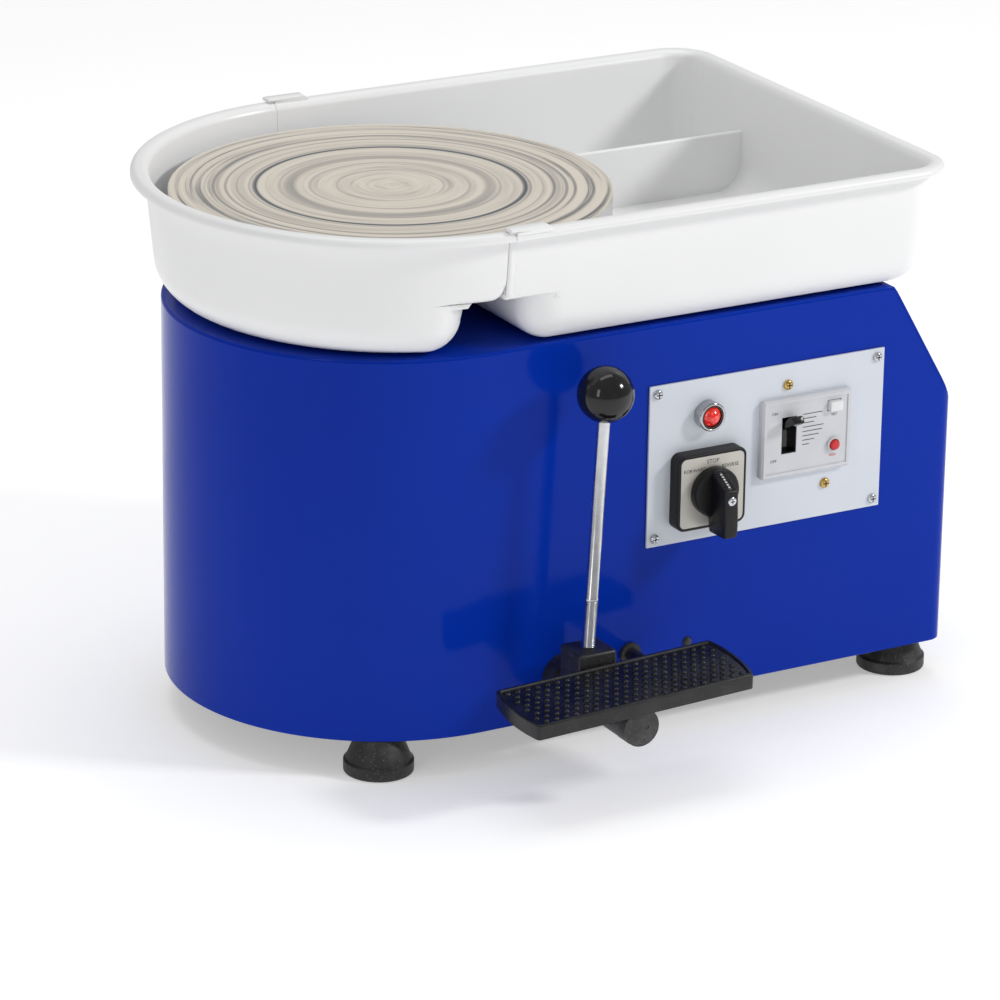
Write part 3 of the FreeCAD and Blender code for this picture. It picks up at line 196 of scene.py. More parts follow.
def bend(start: Pair, corner: Pair, end: Pair,
         radius: float, steps: int = 6) -> list[Pair]:
    """Round a profile's corner with an arc tangent to both legs.

    The arc's centre lies on the bisector at radius / sin(half the angle) from the
    corner, and the points turn evenly from one tangent point to the other.

    Args:
        start: Point before the corner.
        corner: The sharp corner.
        end: Point after the corner.
        radius: Radius of the arc.
        steps: Steps along the arc.

    Returns:
        Points of the arc, from the first leg to the second.
    """
    a, b, c = (np.array(p, float) for p in (start, corner, end))
    to_a = (a - b) / np.linalg.norm(a - b)
    to_c = (c - b) / np.linalg.norm(c - b)
    half = math.acos(float(np.clip(to_a @ to_c, -1, 1))) / 2
    reach = radius / math.tan(half)
    middle = (to_a + to_c) / np.linalg.norm(to_a + to_c)
    centre = b + middle * radius / math.sin(half)
    first = b + to_a * reach - centre
    last = b + to_c * reach - centre
    sweep = math.pi - 2 * half
    share = np.linspace(0, 1, steps + 1)[:, None]
    spots = (np.sin((1 - share) * sweep) * first + np.sin(share * sweep) * last) / math.sin(sweep)
    return [tuple(p) for p in spots + centre]


def rounded_profile(points: list[Pair], radii: dict[int, float],
                    steps: int = 6) -> Points:
    """Profile with some of its corners rounded.

    Args:
        points: Corners of the profile in order.
        radii: Radius of each rounded corner, by its place in the list.
        steps: Steps in each arc.

    Returns:
        Array of profile points.
    """
    line: list[Pair] = []
    for k, point in enumerate(points):
        if k in radii:
            line += bend(points[k - 1], point, points[k + 1], radii[k], steps)
        else:
            line.append(point)
    return np.array(line, float)


# Meshes ----------------------------------------------------------------------

class Skin:
    """Point grids gathered into one mesh, in millimetres of the machine."""

    def __init__(self, name: str, weld: float = 0.002) -> None:
        """Start an empty skin.

        Args:
            name: Name of the piece.
            weld: Distance in millimetres under which points become one.
        """
        self.name = name
        self.weld = weld
        self.blocks: list[Points] = []
        self.faces: list[np.ndarray] = []
        self.finishes: list[np.ndarray] = []
        self.count = 0

    def add(self, grid: Points, around: bool = False, finish: int = 0,
            keep: np.ndarray | None = None) -> "Skin":
        """Add a grid of points; each cell of the grid becomes a face.

        Args:
            grid: Array of rows x columns x 3.
            around: Whether the last column joins the first.
            finish: Index of the cells' material.
            keep: Mask of the cells that are kept, rows x columns of cells.

        Returns:
            This skin.
        """
        rows, columns = grid.shape[:2]
        index = np.arange(rows * columns).reshape(rows, columns) + self.count
        if around:
            index = np.concatenate([index, index[:, :1]], axis=1)
        quads = np.stack([index[:-1, :-1], index[:-1, 1:], index[1:, 1:], index[1:, :-1]], -1)
        quads = quads.reshape(-1, 4) if keep is None else quads[keep]
        self.blocks.append(grid.reshape(-1, 3))
        self.faces.append(quads)
        self.finishes.append(np.full(len(quads), finish))
        self.count += rows * columns
        return self

    def slab(self, axes: Axes, outline: Outline, levels: Points, finish: int = 0) -> "Skin":
        """Add a closed solid whose section is an outline set in by a profile.

        Row k is the outline moved inwards by levels[k][0] at height levels[k][1]; the
        first and the last row are closed onto their own centre.

        Args:
            axes: Local frame; the outline lies in right and up, heights run along out.
            outline: Outline of the solid.
            levels: Rows of (inset, height).
            finish: Index of the material.

        Returns:
            This skin.
        """
        rows = [self._cap(outline, levels[0])]
        rows += [self._ring(outline, inset, height) for inset, height in levels]
        rows.append(self._cap(outline, levels[-1]))
        return self.add(axes.carry(np.stack(rows)), around=True, finish=finish)

    @staticmethod
    def _ring(outline: Outline, inset: float, height: float) -> Points:
        """One row of a slab."""
        flat = outline.inset(inset)
        return np.concatenate([flat, np.full((len(flat), 1), height)], axis=1)

    @staticmethod
    def _cap(outline: Outline, level: Points) -> Points:
        """The centre of a slab's end, repeated once for each point of the outline."""
        middle = (outline.points.max(axis=0) + outline.points.min(axis=0)) / 2
        return np.tile([middle[0], middle[1], level[1]], (len(outline.points), 1))

    def lathe(self, axes: Axes, profile: Points, steps: int = 64, finish: int = 0,
              closed: bool = False) -> "Skin":
        """Add a turned solid: (r cos a, r sin a, h) for every (r, h) of a profile.

        Args:
            axes: Local frame; the solid turns about out.
            profile: Rows of (radius, height), from pole to pole or as a ring.
            steps: Steps in the turn.
            finish: Index of the material.
            closed: Whether the profile's end joins its start, as in a ring.

        Returns:
            This skin.
        """
        line = np.concatenate([profile, profile[:1]]) if closed else np.asarray(profile)
        turns = np.linspace(0, 2 * math.pi, steps, endpoint=False)
        return self.add(axes.carry(turned(line[:, :1], turns, line[:, 1:2])), around=True, finish=finish)

    def build(self, body: Body, finishes: list[Paint], nodes: tuple[str, ...] = (),
              slot: str = "", sharp: float = 35.0, outward: bool = True) -> Piece:
        """Make the Blender object, weld it, and let it ride on its body.

        Args:
            body: Body that the piece rides on.
            finishes: Materials in the order of the finish indices.
            nodes: CAD nodes that the piece replaces.
            slot: Name of a material slot; not used.
            sharp: Edges that turn by more than this many degrees stay sharp.
            outward: Whether the faces are turned outwards as closed shells.

        Returns:
            The new object.
        """
        points, faces, finish = self._welded()
        mesh = bpy.data.meshes.new(self.name)
        triangle = faces[:, 3] < 0
        mesh.from_pydata(LAYOUT.place(points).tolist(), [],
                         faces[~triangle].tolist() + faces[triangle, :3].tolist())
        mesh.polygons.foreach_set("material_index", np.concatenate([finish[~triangle], finish[triangle]]))
        if outward:
            turned = bmesh.new()
            turned.from_mesh(mesh)
            bmesh.ops.recalc_face_normals(turned, faces=turned.faces)
            turned.to_mesh(mesh)
            turned.free()
        for material in finishes:
            mesh.materials.append(material)
        mesh.shade_smooth()
        mesh.set_sharp_from_angle(angle=math.radians(sharp))
        piece = new_object(self.name, mesh)
        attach(piece, body.value)
        if nodes:
            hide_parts(*nodes)
        LOG.info("%s: %d faces on %s", self.name, len(mesh.polygons), body.value)
        return piece

    def cover(self, body: Body, paint: str, *nodes: str, sharp: float = 35.0) -> Piece:
        """Build in one finish, in place of CAD nodes."""
        return self.build(body, [PAINTS[paint]], nodes, paint, sharp)

    def _welded(self) -> tuple[Points, np.ndarray, np.ndarray]:
        """Merge points that coincide and drop the faces that collapse.

        Returns:
            Points, faces of four indices (the last is -1 for a triangle), finishes.
        """
        points = np.concatenate(self.blocks)
        faces = np.concatenate(self.faces)
        finish = np.concatenate(self.finishes)
        keys = np.round(points / self.weld).astype(np.int64)
        _, first, inverse = np.unique(keys, axis=0, return_index=True, return_inverse=True)
        faces = inverse.reshape(-1)[faces]
        same = faces == np.roll(faces, -1, axis=1)
        opposite = (faces[:, 0] == faces[:, 2]) | (faces[:, 1] == faces[:, 3])
        whole = (same.sum(axis=1) == 0) & ~opposite
        quads = faces[whole]
        parts, tags = [quads], [finish[whole]]
        for k in range(4):
            chosen = (same.sum(axis=1) == 1) & same[:, k]
            three = np.delete(faces[chosen], k, axis=1)
            parts.append(np.concatenate([three, np.full((len(three), 1), -1)], axis=1))
            tags.append(finish[chosen])
        faces = np.concatenate(parts)
        tags = np.concatenate(tags)
        used, faces_flat = np.unique(faces[faces >= 0], return_inverse=True)
        compact = np.full(faces.shape, -1)
        compact[faces >= 0] = faces_flat
        return points[first][used], compact, tags


def finish_edges(piece: Piece, width: float, segments: int = 2, angle: float = 40.0) -> None:
    """Round a piece's sharp edges with a live bevel.

    Args:
        piece: The piece.
        width: Width of the bevel in millimetres.
        segments: Segments across it.
        angle: Edges that turn by more than this many degrees are rounded.
    """
    bevel = piece.modifiers.new("edges", "BEVEL")
    bevel.width = width * MM
    bevel.segments = segments
    bevel.limit_method = "ANGLE"
    bevel.angle_limit = math.radians(angle)
    bevel.harden_normals = True


def give_wall(piece: Piece, thickness: float, even: bool = True) -> None:
    """Give a sheet its wall, on the side its faces look away from."""
    wall = piece.modifiers.new("wall", "SOLIDIFY")
    wall.thickness = thickness * MM
    wall.offset = -1.0
    wall.use_even_offset = even
    wall.use_quality_normals = True


# Shader groups ---------------------------------------------------------------

class Wiring:
    """Short hand for adding and linking the nodes of one tree."""

    def __init__(self, tree: Tree) -> None:
        """Work on one tree."""
        self.tree = tree

    def node(self, kind: str, **settings: object) -> bpy.types.Node:
        """Add a node and set its properties."""
        made = self.tree.nodes.new(kind)
        for key, value in settings.items():
            setattr(made, key, value)
        return made

    def feed(self, source: object, socket: Socket) -> None:
        """Link a socket to another, or set a plain value on it."""
        if isinstance(source, Socket):
            self.tree.links.new(source, socket)
        else:
            socket.default_value = source

    def math(self, operation: str, *sources: object) -> Socket:
        """Result of a maths node on sockets or numbers."""
        made = self.node("ShaderNodeMath", operation=operation)
        for source, socket in zip(sources, made.inputs):
            self.feed(source, socket)
        return made.outputs[0]

    def noise(self, vector: object, scale: object, detail: float = 2.0,
              roughness: float = 0.5) -> Socket:
        """Value of a noise texture on a vector."""
        made = self.node("ShaderNodeTexNoise")
        self.feed(vector, made.inputs["Vector"])
        self.feed(scale, made.inputs["Scale"])
        made.inputs["Detail"].default_value = detail
        made.inputs["Roughness"].default_value = roughness
        return made.outputs["Fac"]

    def remap(self, value: object, low: object, high: object, to_low: object = 0.0,
              to_high: object = 1.0) -> Socket:
        """Value carried smoothly from one range to another, held at the ends."""
        made = self.node("ShaderNodeMapRange", interpolation_type="SMOOTHSTEP")
        for source, key in zip((value, low, high, to_low, to_high),
                               ("Value", "From Min", "From Max", "To Min", "To Max")):
            self.feed(source, made.inputs[key])
        return made.outputs["Result"]

    def mix(self, share: object, first: object, second: object) -> Socket:
        """Colour between two colours."""
        made = self.node("ShaderNodeMix", data_type="RGBA")
        for source, key in zip((share, first, second), (0, 6, 7)):
            self.feed(source, made.inputs[key])
        return made.outputs[2]

    def group(self, shared: Tree, **inputs: object) -> bpy.types.Node:
        """Place a shared group; underscores in input names stand for spaces."""
        made = self.node("ShaderNodeGroup")
        made.node_tree = shared
        for key, source in inputs.items():
            self.feed(source, made.inputs[key.replace("_", " ")])
        return made


class SharedEffects:
    """Shader groups that several finishes use, each made once."""

    def __init__(self) -> None:
        """Make every group."""
        self.grain = self._grain()
        self.mottle = self._mottle()
        self.gloss = self._gloss()
        self.brushed = self._brushed()
        self.dust = self._dust()
        self.polar = self._polar()

    @staticmethod
    def _new(name: str, inputs: dict[str, tuple[str, object]],
             outputs: dict[str, str]) -> tuple[Wiring, Sockets, Sockets]:
        """Start a group with named sockets.

        Args:
            name: Name of the group.
            inputs: Kind and default of each input.
            outputs: Kind of each output.

        Returns:
            The group's wiring, what comes in and what goes out.
        """
        tree = bpy.data.node_groups.new(name, "ShaderNodeTree")
        for key, (kind, value) in inputs.items():
            socket = tree.interface.new_socket(key, in_out="INPUT", socket_type=f"NodeSocket{kind}")
            if value is not None:
                socket.default_value = value
        for key, kind in outputs.items():
            tree.interface.new_socket(key, in_out="OUTPUT", socket_type=f"NodeSocket{kind}")
        wiring = Wiring(tree)
        enter, leave = wiring.node("NodeGroupInput"), wiring.node("NodeGroupOutput")
        return wiring, enter.outputs, leave.inputs

    def _grain(self) -> Tree:
        """Fine relief: a quick noise over a slow one, as a height."""
        w, enter, leave = self._new("fine grain", {"Vector": ("Vector", None), "Scale": ("Float", 900.0),
                                                   "Slow Share": ("Float", 0.3)}, {"Height": "Float"})
        quick = w.noise(enter["Vector"], enter["Scale"], 3.0)
        slow = w.noise(enter["Vector"], w.math("MULTIPLY", enter["Scale"], 0.12), 2.0)
        height = w.math("ADD", quick, w.math("MULTIPLY", slow, enter["Slow Share"]))
        w.feed(height, leave["Height"])
        return w.tree

    def _mottle(self) -> Tree:
        """Colour that drifts between two tones in soft clouds."""
        w, enter, leave = self._new("mottle", {
            "Vector": ("Vector", None), "First": ("Color", None), "Second": ("Color", None),
            "Scale": ("Float", 12.0), "Amount": ("Float", 0.5)}, {"Colour": "Color"})
        cloud = w.noise(enter["Vector"], enter["Scale"], 4.0, 0.55)
        mask = w.math("MULTIPLY", w.remap(cloud, 0.38, 0.66), enter["Amount"])
        w.feed(w.mix(mask, enter["First"], enter["Second"]), leave["Colour"])
        return w.tree

    def _gloss(self) -> Tree:
        """Roughness that wanders between two values, with fine wiping streaks."""
        w, enter, leave = self._new("uneven gloss", {
            "Vector": ("Vector", None), "Scale": ("Float", 20.0), "Low": ("Float", 0.3),
            "High": ("Float", 0.5)}, {"Roughness": "Float"})
        cloud = w.noise(enter["Vector"], enter["Scale"], 5.0, 0.6)
        w.feed(w.remap(cloud, 0.3, 0.7, enter["Low"], enter["High"]),
               leave["Roughness"])
        return w.tree

    def _brushed(self) -> Tree:
        """Fine lines along one direction: noise on a vector squeezed along it."""
        w, enter, leave = self._new("brushed lines", {
            "Vector": ("Vector", None), "Stretch": ("Vector", None), "Scale": ("Float", 400.0)},
            {"Height": "Float"})
        squeezed = w.node("ShaderNodeVectorMath", operation="MULTIPLY")
        w.feed(enter["Vector"], squeezed.inputs[0])
        w.feed(enter["Stretch"], squeezed.inputs[1])
        w.feed(w.noise(squeezed.outputs[0], enter["Scale"], 4.0, 0.7), leave["Height"])
        return w.tree

    def _dust(self) -> Tree:
        """Pale dust in patches and specks over a colour."""
        w, enter, leave = self._new("dust", {
            "Vector": ("Vector", None), "Base": ("Color", None), "Dust": ("Color", None),
            "Amount": ("Float", 0.2), "Scale": ("Float", 60.0)}, {"Colour": "Color"})
        patch = w.remap(w.noise(enter["Vector"], enter["Scale"], 5.0, 0.65), 0.45, 0.75)
        speck = w.remap(w.noise(enter["Vector"], w.math("MULTIPLY", enter["Scale"], 14.0),
                                1.0), 0.62, 0.72)
        both = w.math("MAXIMUM", w.math("MULTIPLY", patch, 0.6), speck)
        mask = w.math("MULTIPLY", both, enter["Amount"])
        w.feed(w.mix(mask, enter["Base"], enter["Dust"]), leave["Colour"])
        return w.tree

    def _polar(self) -> Tree:
        """Distance from a vertical axis, and a vector that runs round it.

        The radius is sqrt(x * x + y * y); the round vector is (x / r * turn,
        y / r * turn, r * across), so noise on it makes long rings.
        """
        w, enter, leave = self._new("round the axis", {
            "Vector": ("Vector", None), "Turn": ("Float", 1.0), "Across": ("Float", 100.0)},
            {"Radius": "Float", "Round": "Vector"})
        split = w.node("ShaderNodeSeparateXYZ")
        w.feed(enter["Vector"], split.inputs[0])
        x, y = split.outputs[0], split.outputs[1]
        radius = w.math("SQRT", w.math("ADD", w.math("MULTIPLY", x, x), w.math("MULTIPLY", y, y)))
        safe = w.math("MAXIMUM", radius, 0.0005)
        joined = w.node("ShaderNodeCombineXYZ")
        w.feed(w.math("MULTIPLY", w.math("DIVIDE", x, safe), enter["Turn"]), joined.inputs[0])
        w.feed(w.math("MULTIPLY", w.math("DIVIDE", y, safe), enter["Turn"]), joined.inputs[1])
        w.feed(w.math("MULTIPLY", radius, enter["Across"]), joined.inputs[2])
        w.feed(radius, leave["Radius"])
        w.feed(joined.outputs[0], leave["Round"])
        return w.tree


EFFECTS = SharedEffects()


# Finishes --------------------------------------------------------------------

@dataclass(frozen=True)
class Finish:
    """A finish with drifting colour, uneven gloss and fine relief."""

    name: str
    colour: Colour
    second: Colour
    rough: Pair
    metallic: float = 0.0
    coat: float = 0.0
    coat_rough: float = 0.1
    specular: float = 0.5
    mottle: Pair = (14.0, 0.6)
    grain: Pair = (1500.0, 0.05)
    gloss_scale: float = 25.0
    dust: float = 0.0
    dust_colour: Colour = (0.45, 0.43, 0.4)

    def make(self) -> Paint:
        """Build the material.

        Returns:
            A new material named after the finish.
        """
        material = bpy.data.materials.new(self.name)
        material.use_nodes = True
        material.diffuse_color = (*self.colour, 1.0)
        w = Wiring(material.node_tree)
        shader = material.node_tree.nodes["Principled BSDF"]
        shader.inputs["Metallic"].default_value = self.metallic
        shader.inputs["Coat Weight"].default_value = self.coat
        shader.inputs["Coat Roughness"].default_value = self.coat_rough
        shader.inputs["Specular IOR Level"].default_value = self.specular
        place = w.node("ShaderNodeTexCoord").outputs["Object"]
        self.dress(w, shader, place)
        return material

    def dress(self, w: Wiring, shader: bpy.types.Node, place: Socket) -> None:
        """Wire colour, roughness and relief.

        Args:
            w: Wiring of the material.
            shader: Its Principled shader.
            place: Object coordinates.
        """
        w.feed(self.colouring(w, place), shader.inputs["Base Color"])
        w.feed(self.glossing(w, place), shader.inputs["Roughness"])
        w.feed(self.relief(w, self.height(w, place), self.grain[1]), shader.inputs["Normal"])

    def colouring(self, w: Wiring, place: Socket) -> Socket:
        """Mottled colour, with dust where the finish has any."""
        tone = w.group(EFFECTS.mottle, Vector=place, First=(*self.colour, 1), Second=(*self.second, 1),
                       Scale=self.mottle[0], Amount=self.mottle[1]).outputs["Colour"]
        if self.dust:
            tone = w.group(EFFECTS.dust, Vector=place, Base=tone, Dust=(*self.dust_colour, 1),
                           Amount=self.dust).outputs["Colour"]
        return tone

    def glossing(self, w: Wiring, place: Socket) -> Socket:
        """Roughness that wanders between the finish's two values."""
        return w.group(EFFECTS.gloss, Vector=place, Scale=self.gloss_scale, Low=self.rough[0],
                       High=self.rough[1]).outputs["Roughness"]

    def height(self, w: Wiring, place: Socket) -> Socket:
        """Height of the fine grain."""
        return w.group(EFFECTS.grain, Vector=place, Scale=self.grain[0]).outputs["Height"]

    @staticmethod
    def relief(w: Wiring, height: Socket, strength: float,
               distance: float = 0.0004) -> Socket:
        """Normal bent by a height."""
        bump = w.node("ShaderNodeBump")
        bump.inputs["Strength"].default_value = strength
        bump.inputs["Distance"].default_value = distance
        w.feed(height, bump.inputs["Height"])
        return bump.outputs["Normal"]


@dataclass(frozen=True)
class BrushedMetal(Finish):
    """Metal with fine lines along one direction."""

    stretch: Triple = (1.0, 1.0, 20.0)

    def height(self, w: Wiring, place: Socket) -> Socket:
        """Height of the brushed lines."""
        return w.group(EFFECTS.brushed, Vector=place, Stretch=self.stretch,
                       Scale=self.grain[0]).outputs["Height"]


@dataclass(frozen=True)
class ThrownHead(Finish):
    """Turned aluminium under a skin of dried slip, in rings about the wheel axis."""

    bands: tuple[Triple, ...] = (
        # radius, half width, darkness, millimetres
        (56.5, 2.6, 0.42), (62.0, 0.8, 0.3), (76.0, 1.2, 0.95), (79.0, 0.6, 0.35), (86.0, 0.5, 0.25),
        (92.3, 0.7, 0.5), (99.2, 0.8, 0.6), (104.0, 0.5, 0.25), (45.0, 0.8, 0.3), (30.0, 0.6, 0.25))
    ring_colour: Colour = (0.055, 0.075, 0.1)
    bare_colour: Colour = (0.33, 0.33, 0.32)
    slip_edge: float = 98.0
    top: float = 61.5
    side_colour: Colour = (0.62, 0.62, 0.62)

    def dress(self, w: Wiring, shader: bpy.types.Node, place: Socket) -> None:
        """Wire slip, bare smears and dark rings, all on polar coordinates."""
        centre = w.node("ShaderNodeMapping")
        w.feed(place, centre.inputs["Vector"])
        centre.inputs["Location"].default_value = (-LAYOUT.axis_x, -LAYOUT.axis_y, 0.0)
        here = centre.outputs["Vector"]
        long_rings = w.group(EFFECTS.polar, Vector=here, Turn=0.55, Across=260.0)
        fine_rings = w.group(EFFECTS.polar, Vector=here, Turn=0.35, Across=900.0)
        radius = long_rings.outputs["Radius"]
        streak = w.noise(long_rings.outputs["Round"], 1.0, 4.0, 0.6)
        fine = w.noise(fine_rings.outputs["Round"], 1.0, 3.0, 0.6)
        sway = w.math("MULTIPLY", w.math("SUBTRACT", w.noise(here, 9.0, 2.0), 0.5), 0.003)
        moved = w.math("ADD", radius, sway)
        bare = self._bare(w, moved, streak)
        dark = self._rings(w, moved, fine)
        slip = w.group(EFFECTS.mottle, Vector=long_rings.outputs["Round"], First=(*self.colour, 1),
                       Second=(*self.second, 1), Scale=1.0, Amount=0.9).outputs["Colour"]
        tone = w.mix(bare, slip, (*self.bare_colour, 1))
        tone = w.mix(dark, tone, (*self.ring_colour, 1))
        height = w.node("ShaderNodeSeparateXYZ")
        w.feed(place, height.inputs[0])
        rim = LAYOUT.deck_z + self.top * MM
        side = w.remap(height.outputs[2], rim - 0.0028, rim - 0.0012, 1.0, 0.0)
        tone = w.mix(side, tone, (*self.side_colour, 1))
        w.feed(tone, shader.inputs["Base Color"])
        w.feed(w.math("MULTIPLY", bare, 0.75), shader.inputs["Metallic"])
        w.feed(w.remap(w.math("ADD", bare, w.math("MULTIPLY", fine, 0.4)), 0.1, 1.2, self.rough[1],
                       self.rough[0]), shader.inputs["Roughness"])
        w.feed(self.relief(w, w.math("ADD", fine, w.math("MULTIPLY", streak, 0.6)), self.grain[1]),
               shader.inputs["Normal"])

    def _bare(self, w: Wiring, radius: object, streak: object) -> Socket:
        """Mask of the smears where metal shows: more of them past the slip's edge."""
        edge = self.slip_edge * MM
        outside = w.remap(radius, edge - 0.012, edge + 0.016)
        smear = w.remap(streak, 0.5, 0.64)
        light = w.math("MULTIPLY", w.remap(streak, 0.56, 0.72), 0.3)
        return w.math("MAXIMUM", w.math("MULTIPLY", outside, smear), light)

    def _rings(self, w: Wiring, radius: object, fine: object) -> Socket:
        """Mask of the dark rings: 1 - |r - ring| / width for each, the largest of them."""
        mask: object = 0.0
        for place, half, dark in self.bands:
            away = w.math("ABSOLUTE", w.math("SUBTRACT", radius, place * MM))
            ring = w.remap(away, half * MM * 1.9, half * MM * 0.4, 0.0, dark)
            mask = w.math("MAXIMUM", mask, ring)
        return w.math("MULTIPLY", mask, w.remap(fine, 0.2, 0.5, 0.55, 1.0))


@dataclass(frozen=True)
class ClearLens(Finish):
    """Coloured clear plastic with light caught inside."""

    glow: float = 0.25
    facets: float = 420.0

    def dress(self, w: Wiring, shader: bpy.types.Node, place: Socket) -> None:
        """Wire the facets behind the face as cells of lighter and darker colour: painted light caught in the
        lens, also fed to a faint glow.
        """
        cells = w.node("ShaderNodeTexVoronoi")
        w.feed(place, cells.inputs["Vector"])
        cells.inputs["Scale"].default_value = self.facets
        share = w.remap(cells.outputs["Distance"], 0.0, 0.6)
        w.feed(w.mix(share, (*self.second, 1), (*self.colour, 1)), shader.inputs["Base Color"])
        # The glow is painted light caught inside the lens.
        w.feed(w.mix(share, (*self.second, 1), (*self.colour, 1)), shader.inputs["Emission Color"])
        shader.inputs["Emission Strength"].default_value = self.glow
        w.feed(self.glossing(w, place), shader.inputs["Roughness"])
        w.feed(self.relief(w, cells.outputs["Distance"], self.grain[1]), shader.inputs["Normal"])


FINISHES: dict[str, Finish] = {finish.name: finish for finish in (
    Finish("housing_paint", (0.0012, 0.028, 0.36), (0.001, 0.024, 0.32), (0.1, 0.16),
           specular=0.09, mottle=(6.0, 0.5), grain=(420.0, 0.02)),
    Finish("black_paint", (0.012, 0.012, 0.014), (0.02, 0.02, 0.022), (0.32, 0.5),
           mottle=(80.0, 0.5), grain=(1500.0, 0.18), dust=0.12),
    Finish("foot_rubber", (0.012, 0.012, 0.013), (0.022, 0.022, 0.023), (0.38, 0.6),
           mottle=(60.0, 0.6), grain=(1600.0, 0.12), dust=0.14),
    BrushedMetal("zinc_steel", (0.62, 0.63, 0.65), (0.5, 0.51, 0.54), (0.16, 0.32), metallic=1.0,
                 mottle=(120.0, 0.6), grain=(500.0, 0.06), stretch=(3.0, 3.0, 0.3)),
    BrushedMetal("ground_steel", (0.5, 0.5, 0.5), (0.4, 0.4, 0.41), (0.2, 0.36), metallic=1.0,
                 mottle=(60.0, 0.6), grain=(500.0, 0.08), stretch=(3.0, 0.3, 3.0)),
    Finish("brass", (0.62, 0.42, 0.13), (0.5, 0.33, 0.1), (0.2, 0.36), metallic=1.0,
           mottle=(300.0, 0.7), grain=(2500.0, 0.08)),
    Finish("cast_iron", (0.09, 0.09, 0.09), (0.13, 0.13, 0.13), (0.5, 0.75),
           mottle=(60.0, 0.6), grain=(700.0, 0.5)),
    ThrownHead("head_aluminium", (0.72, 0.66, 0.57), (0.56, 0.515, 0.455), (0.26, 0.52),
               grain=(0.0, 0.14)),
    BrushedMetal("aluminium", (0.72, 0.72, 0.73), (0.6, 0.6, 0.62), (0.22, 0.38), metallic=1.0,
                 mottle=(60.0, 0.5), grain=(500.0, 0.08), stretch=(3.0, 3.0, 0.3)),
    Finish("pan_plastic", (0.87, 0.872, 0.875), (0.84, 0.842, 0.845), (0.28, 0.42),
           mottle=(9.0, 0.4), grain=(700.0, 0.03), gloss_scale=12.0),
    Finish("panel_paint", (0.66, 0.7, 0.765), (0.62, 0.66, 0.725), (0.3, 0.45),
           mottle=(20.0, 0.4), grain=(1800.0, 0.06)),
    Finish("chrome", (0.46, 0.46, 0.48), (0.4, 0.4, 0.42), (0.05, 0.12), metallic=1.0,
           mottle=(200.0, 0.4), grain=(900.0, 0.01)),
    # The lighter second red and the glow are painted light caught in the lens's facets.
    ClearLens("red_lens", (0.62, 0.008, 0.006), (0.95, 0.1, 0.06), (0.06, 0.14), coat=0.6,
              grain=(0.0, 0.35)),
    Finish("black_gloss", (0.004, 0.004, 0.005), (0.007, 0.007, 0.008), (0.07, 0.14),
           specular=0.35, coat=0.2, coat_rough=0.04, mottle=(40.0, 0.6), grain=(400.0, 0.02), dust=0.02),
    Finish("black_plastic", (0.004, 0.004, 0.005), (0.008, 0.008, 0.009), (0.3, 0.44),
           specular=0.3, mottle=(90.0, 0.5), grain=(3000.0, 0.22)),
    BrushedMetal("cream_face", (0.56, 0.54, 0.49), (0.48, 0.46, 0.42), (0.3, 0.45),
                 metallic=0.25, mottle=(60.0, 0.4), grain=(900.0, 0.05), stretch=(0.2, 1.0, 6.0)),
    Finish("white_plastic", (0.78, 0.79, 0.8), (0.72, 0.73, 0.74), (0.3, 0.42),
           mottle=(60.0, 0.4), grain=(2600.0, 0.1)),
    Finish("bezel_plastic", (0.62, 0.63, 0.66), (0.57, 0.58, 0.61), (0.3, 0.42),
           mottle=(60.0, 0.4), grain=(2600.0, 0.1)),
    Finish("red_plastic", (0.62, 0.015, 0.02), (0.5, 0.01, 0.014), (0.16, 0.26),
           mottle=(120.0, 0.5), grain=(1500.0, 0.05)),
    Finish("pad_rubber", (0.006, 0.0062, 0.007), (0.01, 0.01, 0.011), (0.22, 0.34),
           specular=0.4, mottle=(60.0, 0.5), grain=(1800.0, 0.12), dust=0.04),
    Finish("board_green", (0.015, 0.12, 0.05), (0.02, 0.09, 0.04), (0.35, 0.5),
           mottle=(200.0, 0.6), grain=(1200.0, 0.1)),
    # Near-black ink for the words and rules; the same finish darkens the screws' crosses as painted shade in
    # their recesses.
    Finish("ink_and_recess_shade", (0.015, 0.015, 0.018), (0.03, 0.03, 0.034), (0.4, 0.55),
           mottle=(300.0, 0.6), grain=(2500.0, 0.05)),
    Finish("print_white", (0.7, 0.7, 0.68), (0.6, 0.6, 0.58), (0.4, 0.5),
           mottle=(300.0, 0.5), grain=(2500.0, 0.05)),
    Finish("print_red", (0.6, 0.02, 0.02), (0.5, 0.02, 0.02), (0.4, 0.5),
           mottle=(300.0, 0.5), grain=(2500.0, 0.05)),
    Finish("dark_cast", (0.02, 0.02, 0.022), (0.035, 0.034, 0.033), (0.42, 0.62),
           mottle=(90.0, 0.7), grain=(900.0, 0.4), dust=0.15),
    Finish("foot_metal", (0.35, 0.35, 0.36), (0.25, 0.25, 0.26), (0.25, 0.4), metallic=1.0,
           mottle=(200.0, 0.6), grain=(1500.0, 0.1)),
)}


class Paints:
    """Materials made from the finishes, each once."""

    def __init__(self) -> None:
        """Start with none."""
        self.made: dict[str, Paint] = {}

    def __getitem__(self, name: str) -> Paint:
        """The material of a finish."""
        if name not in self.made:
            self.made[name] = FINISHES[name].make()
        return self.made[name]


PAINTS = Paints()


# Helpers on pieces -----------------------------------------------------------

def settle(piece: Piece, sharp: float = 35.0) -> None:
    """Apply a piece's modifiers and mark its sharp edges again.

    Args:
        piece: The piece.
        sharp: Edges that turn by more than this many degrees stay sharp.
    """
    graph = bpy.context.evaluated_depsgraph_get()
    mesh = bpy.data.meshes.new_from_object(piece.evaluated_get(graph))
    mesh.name = piece.name
    piece.modifiers.clear()
    piece.data = mesh
    mesh.shade_smooth()
    mesh.set_sharp_from_angle(angle=math.radians(sharp))


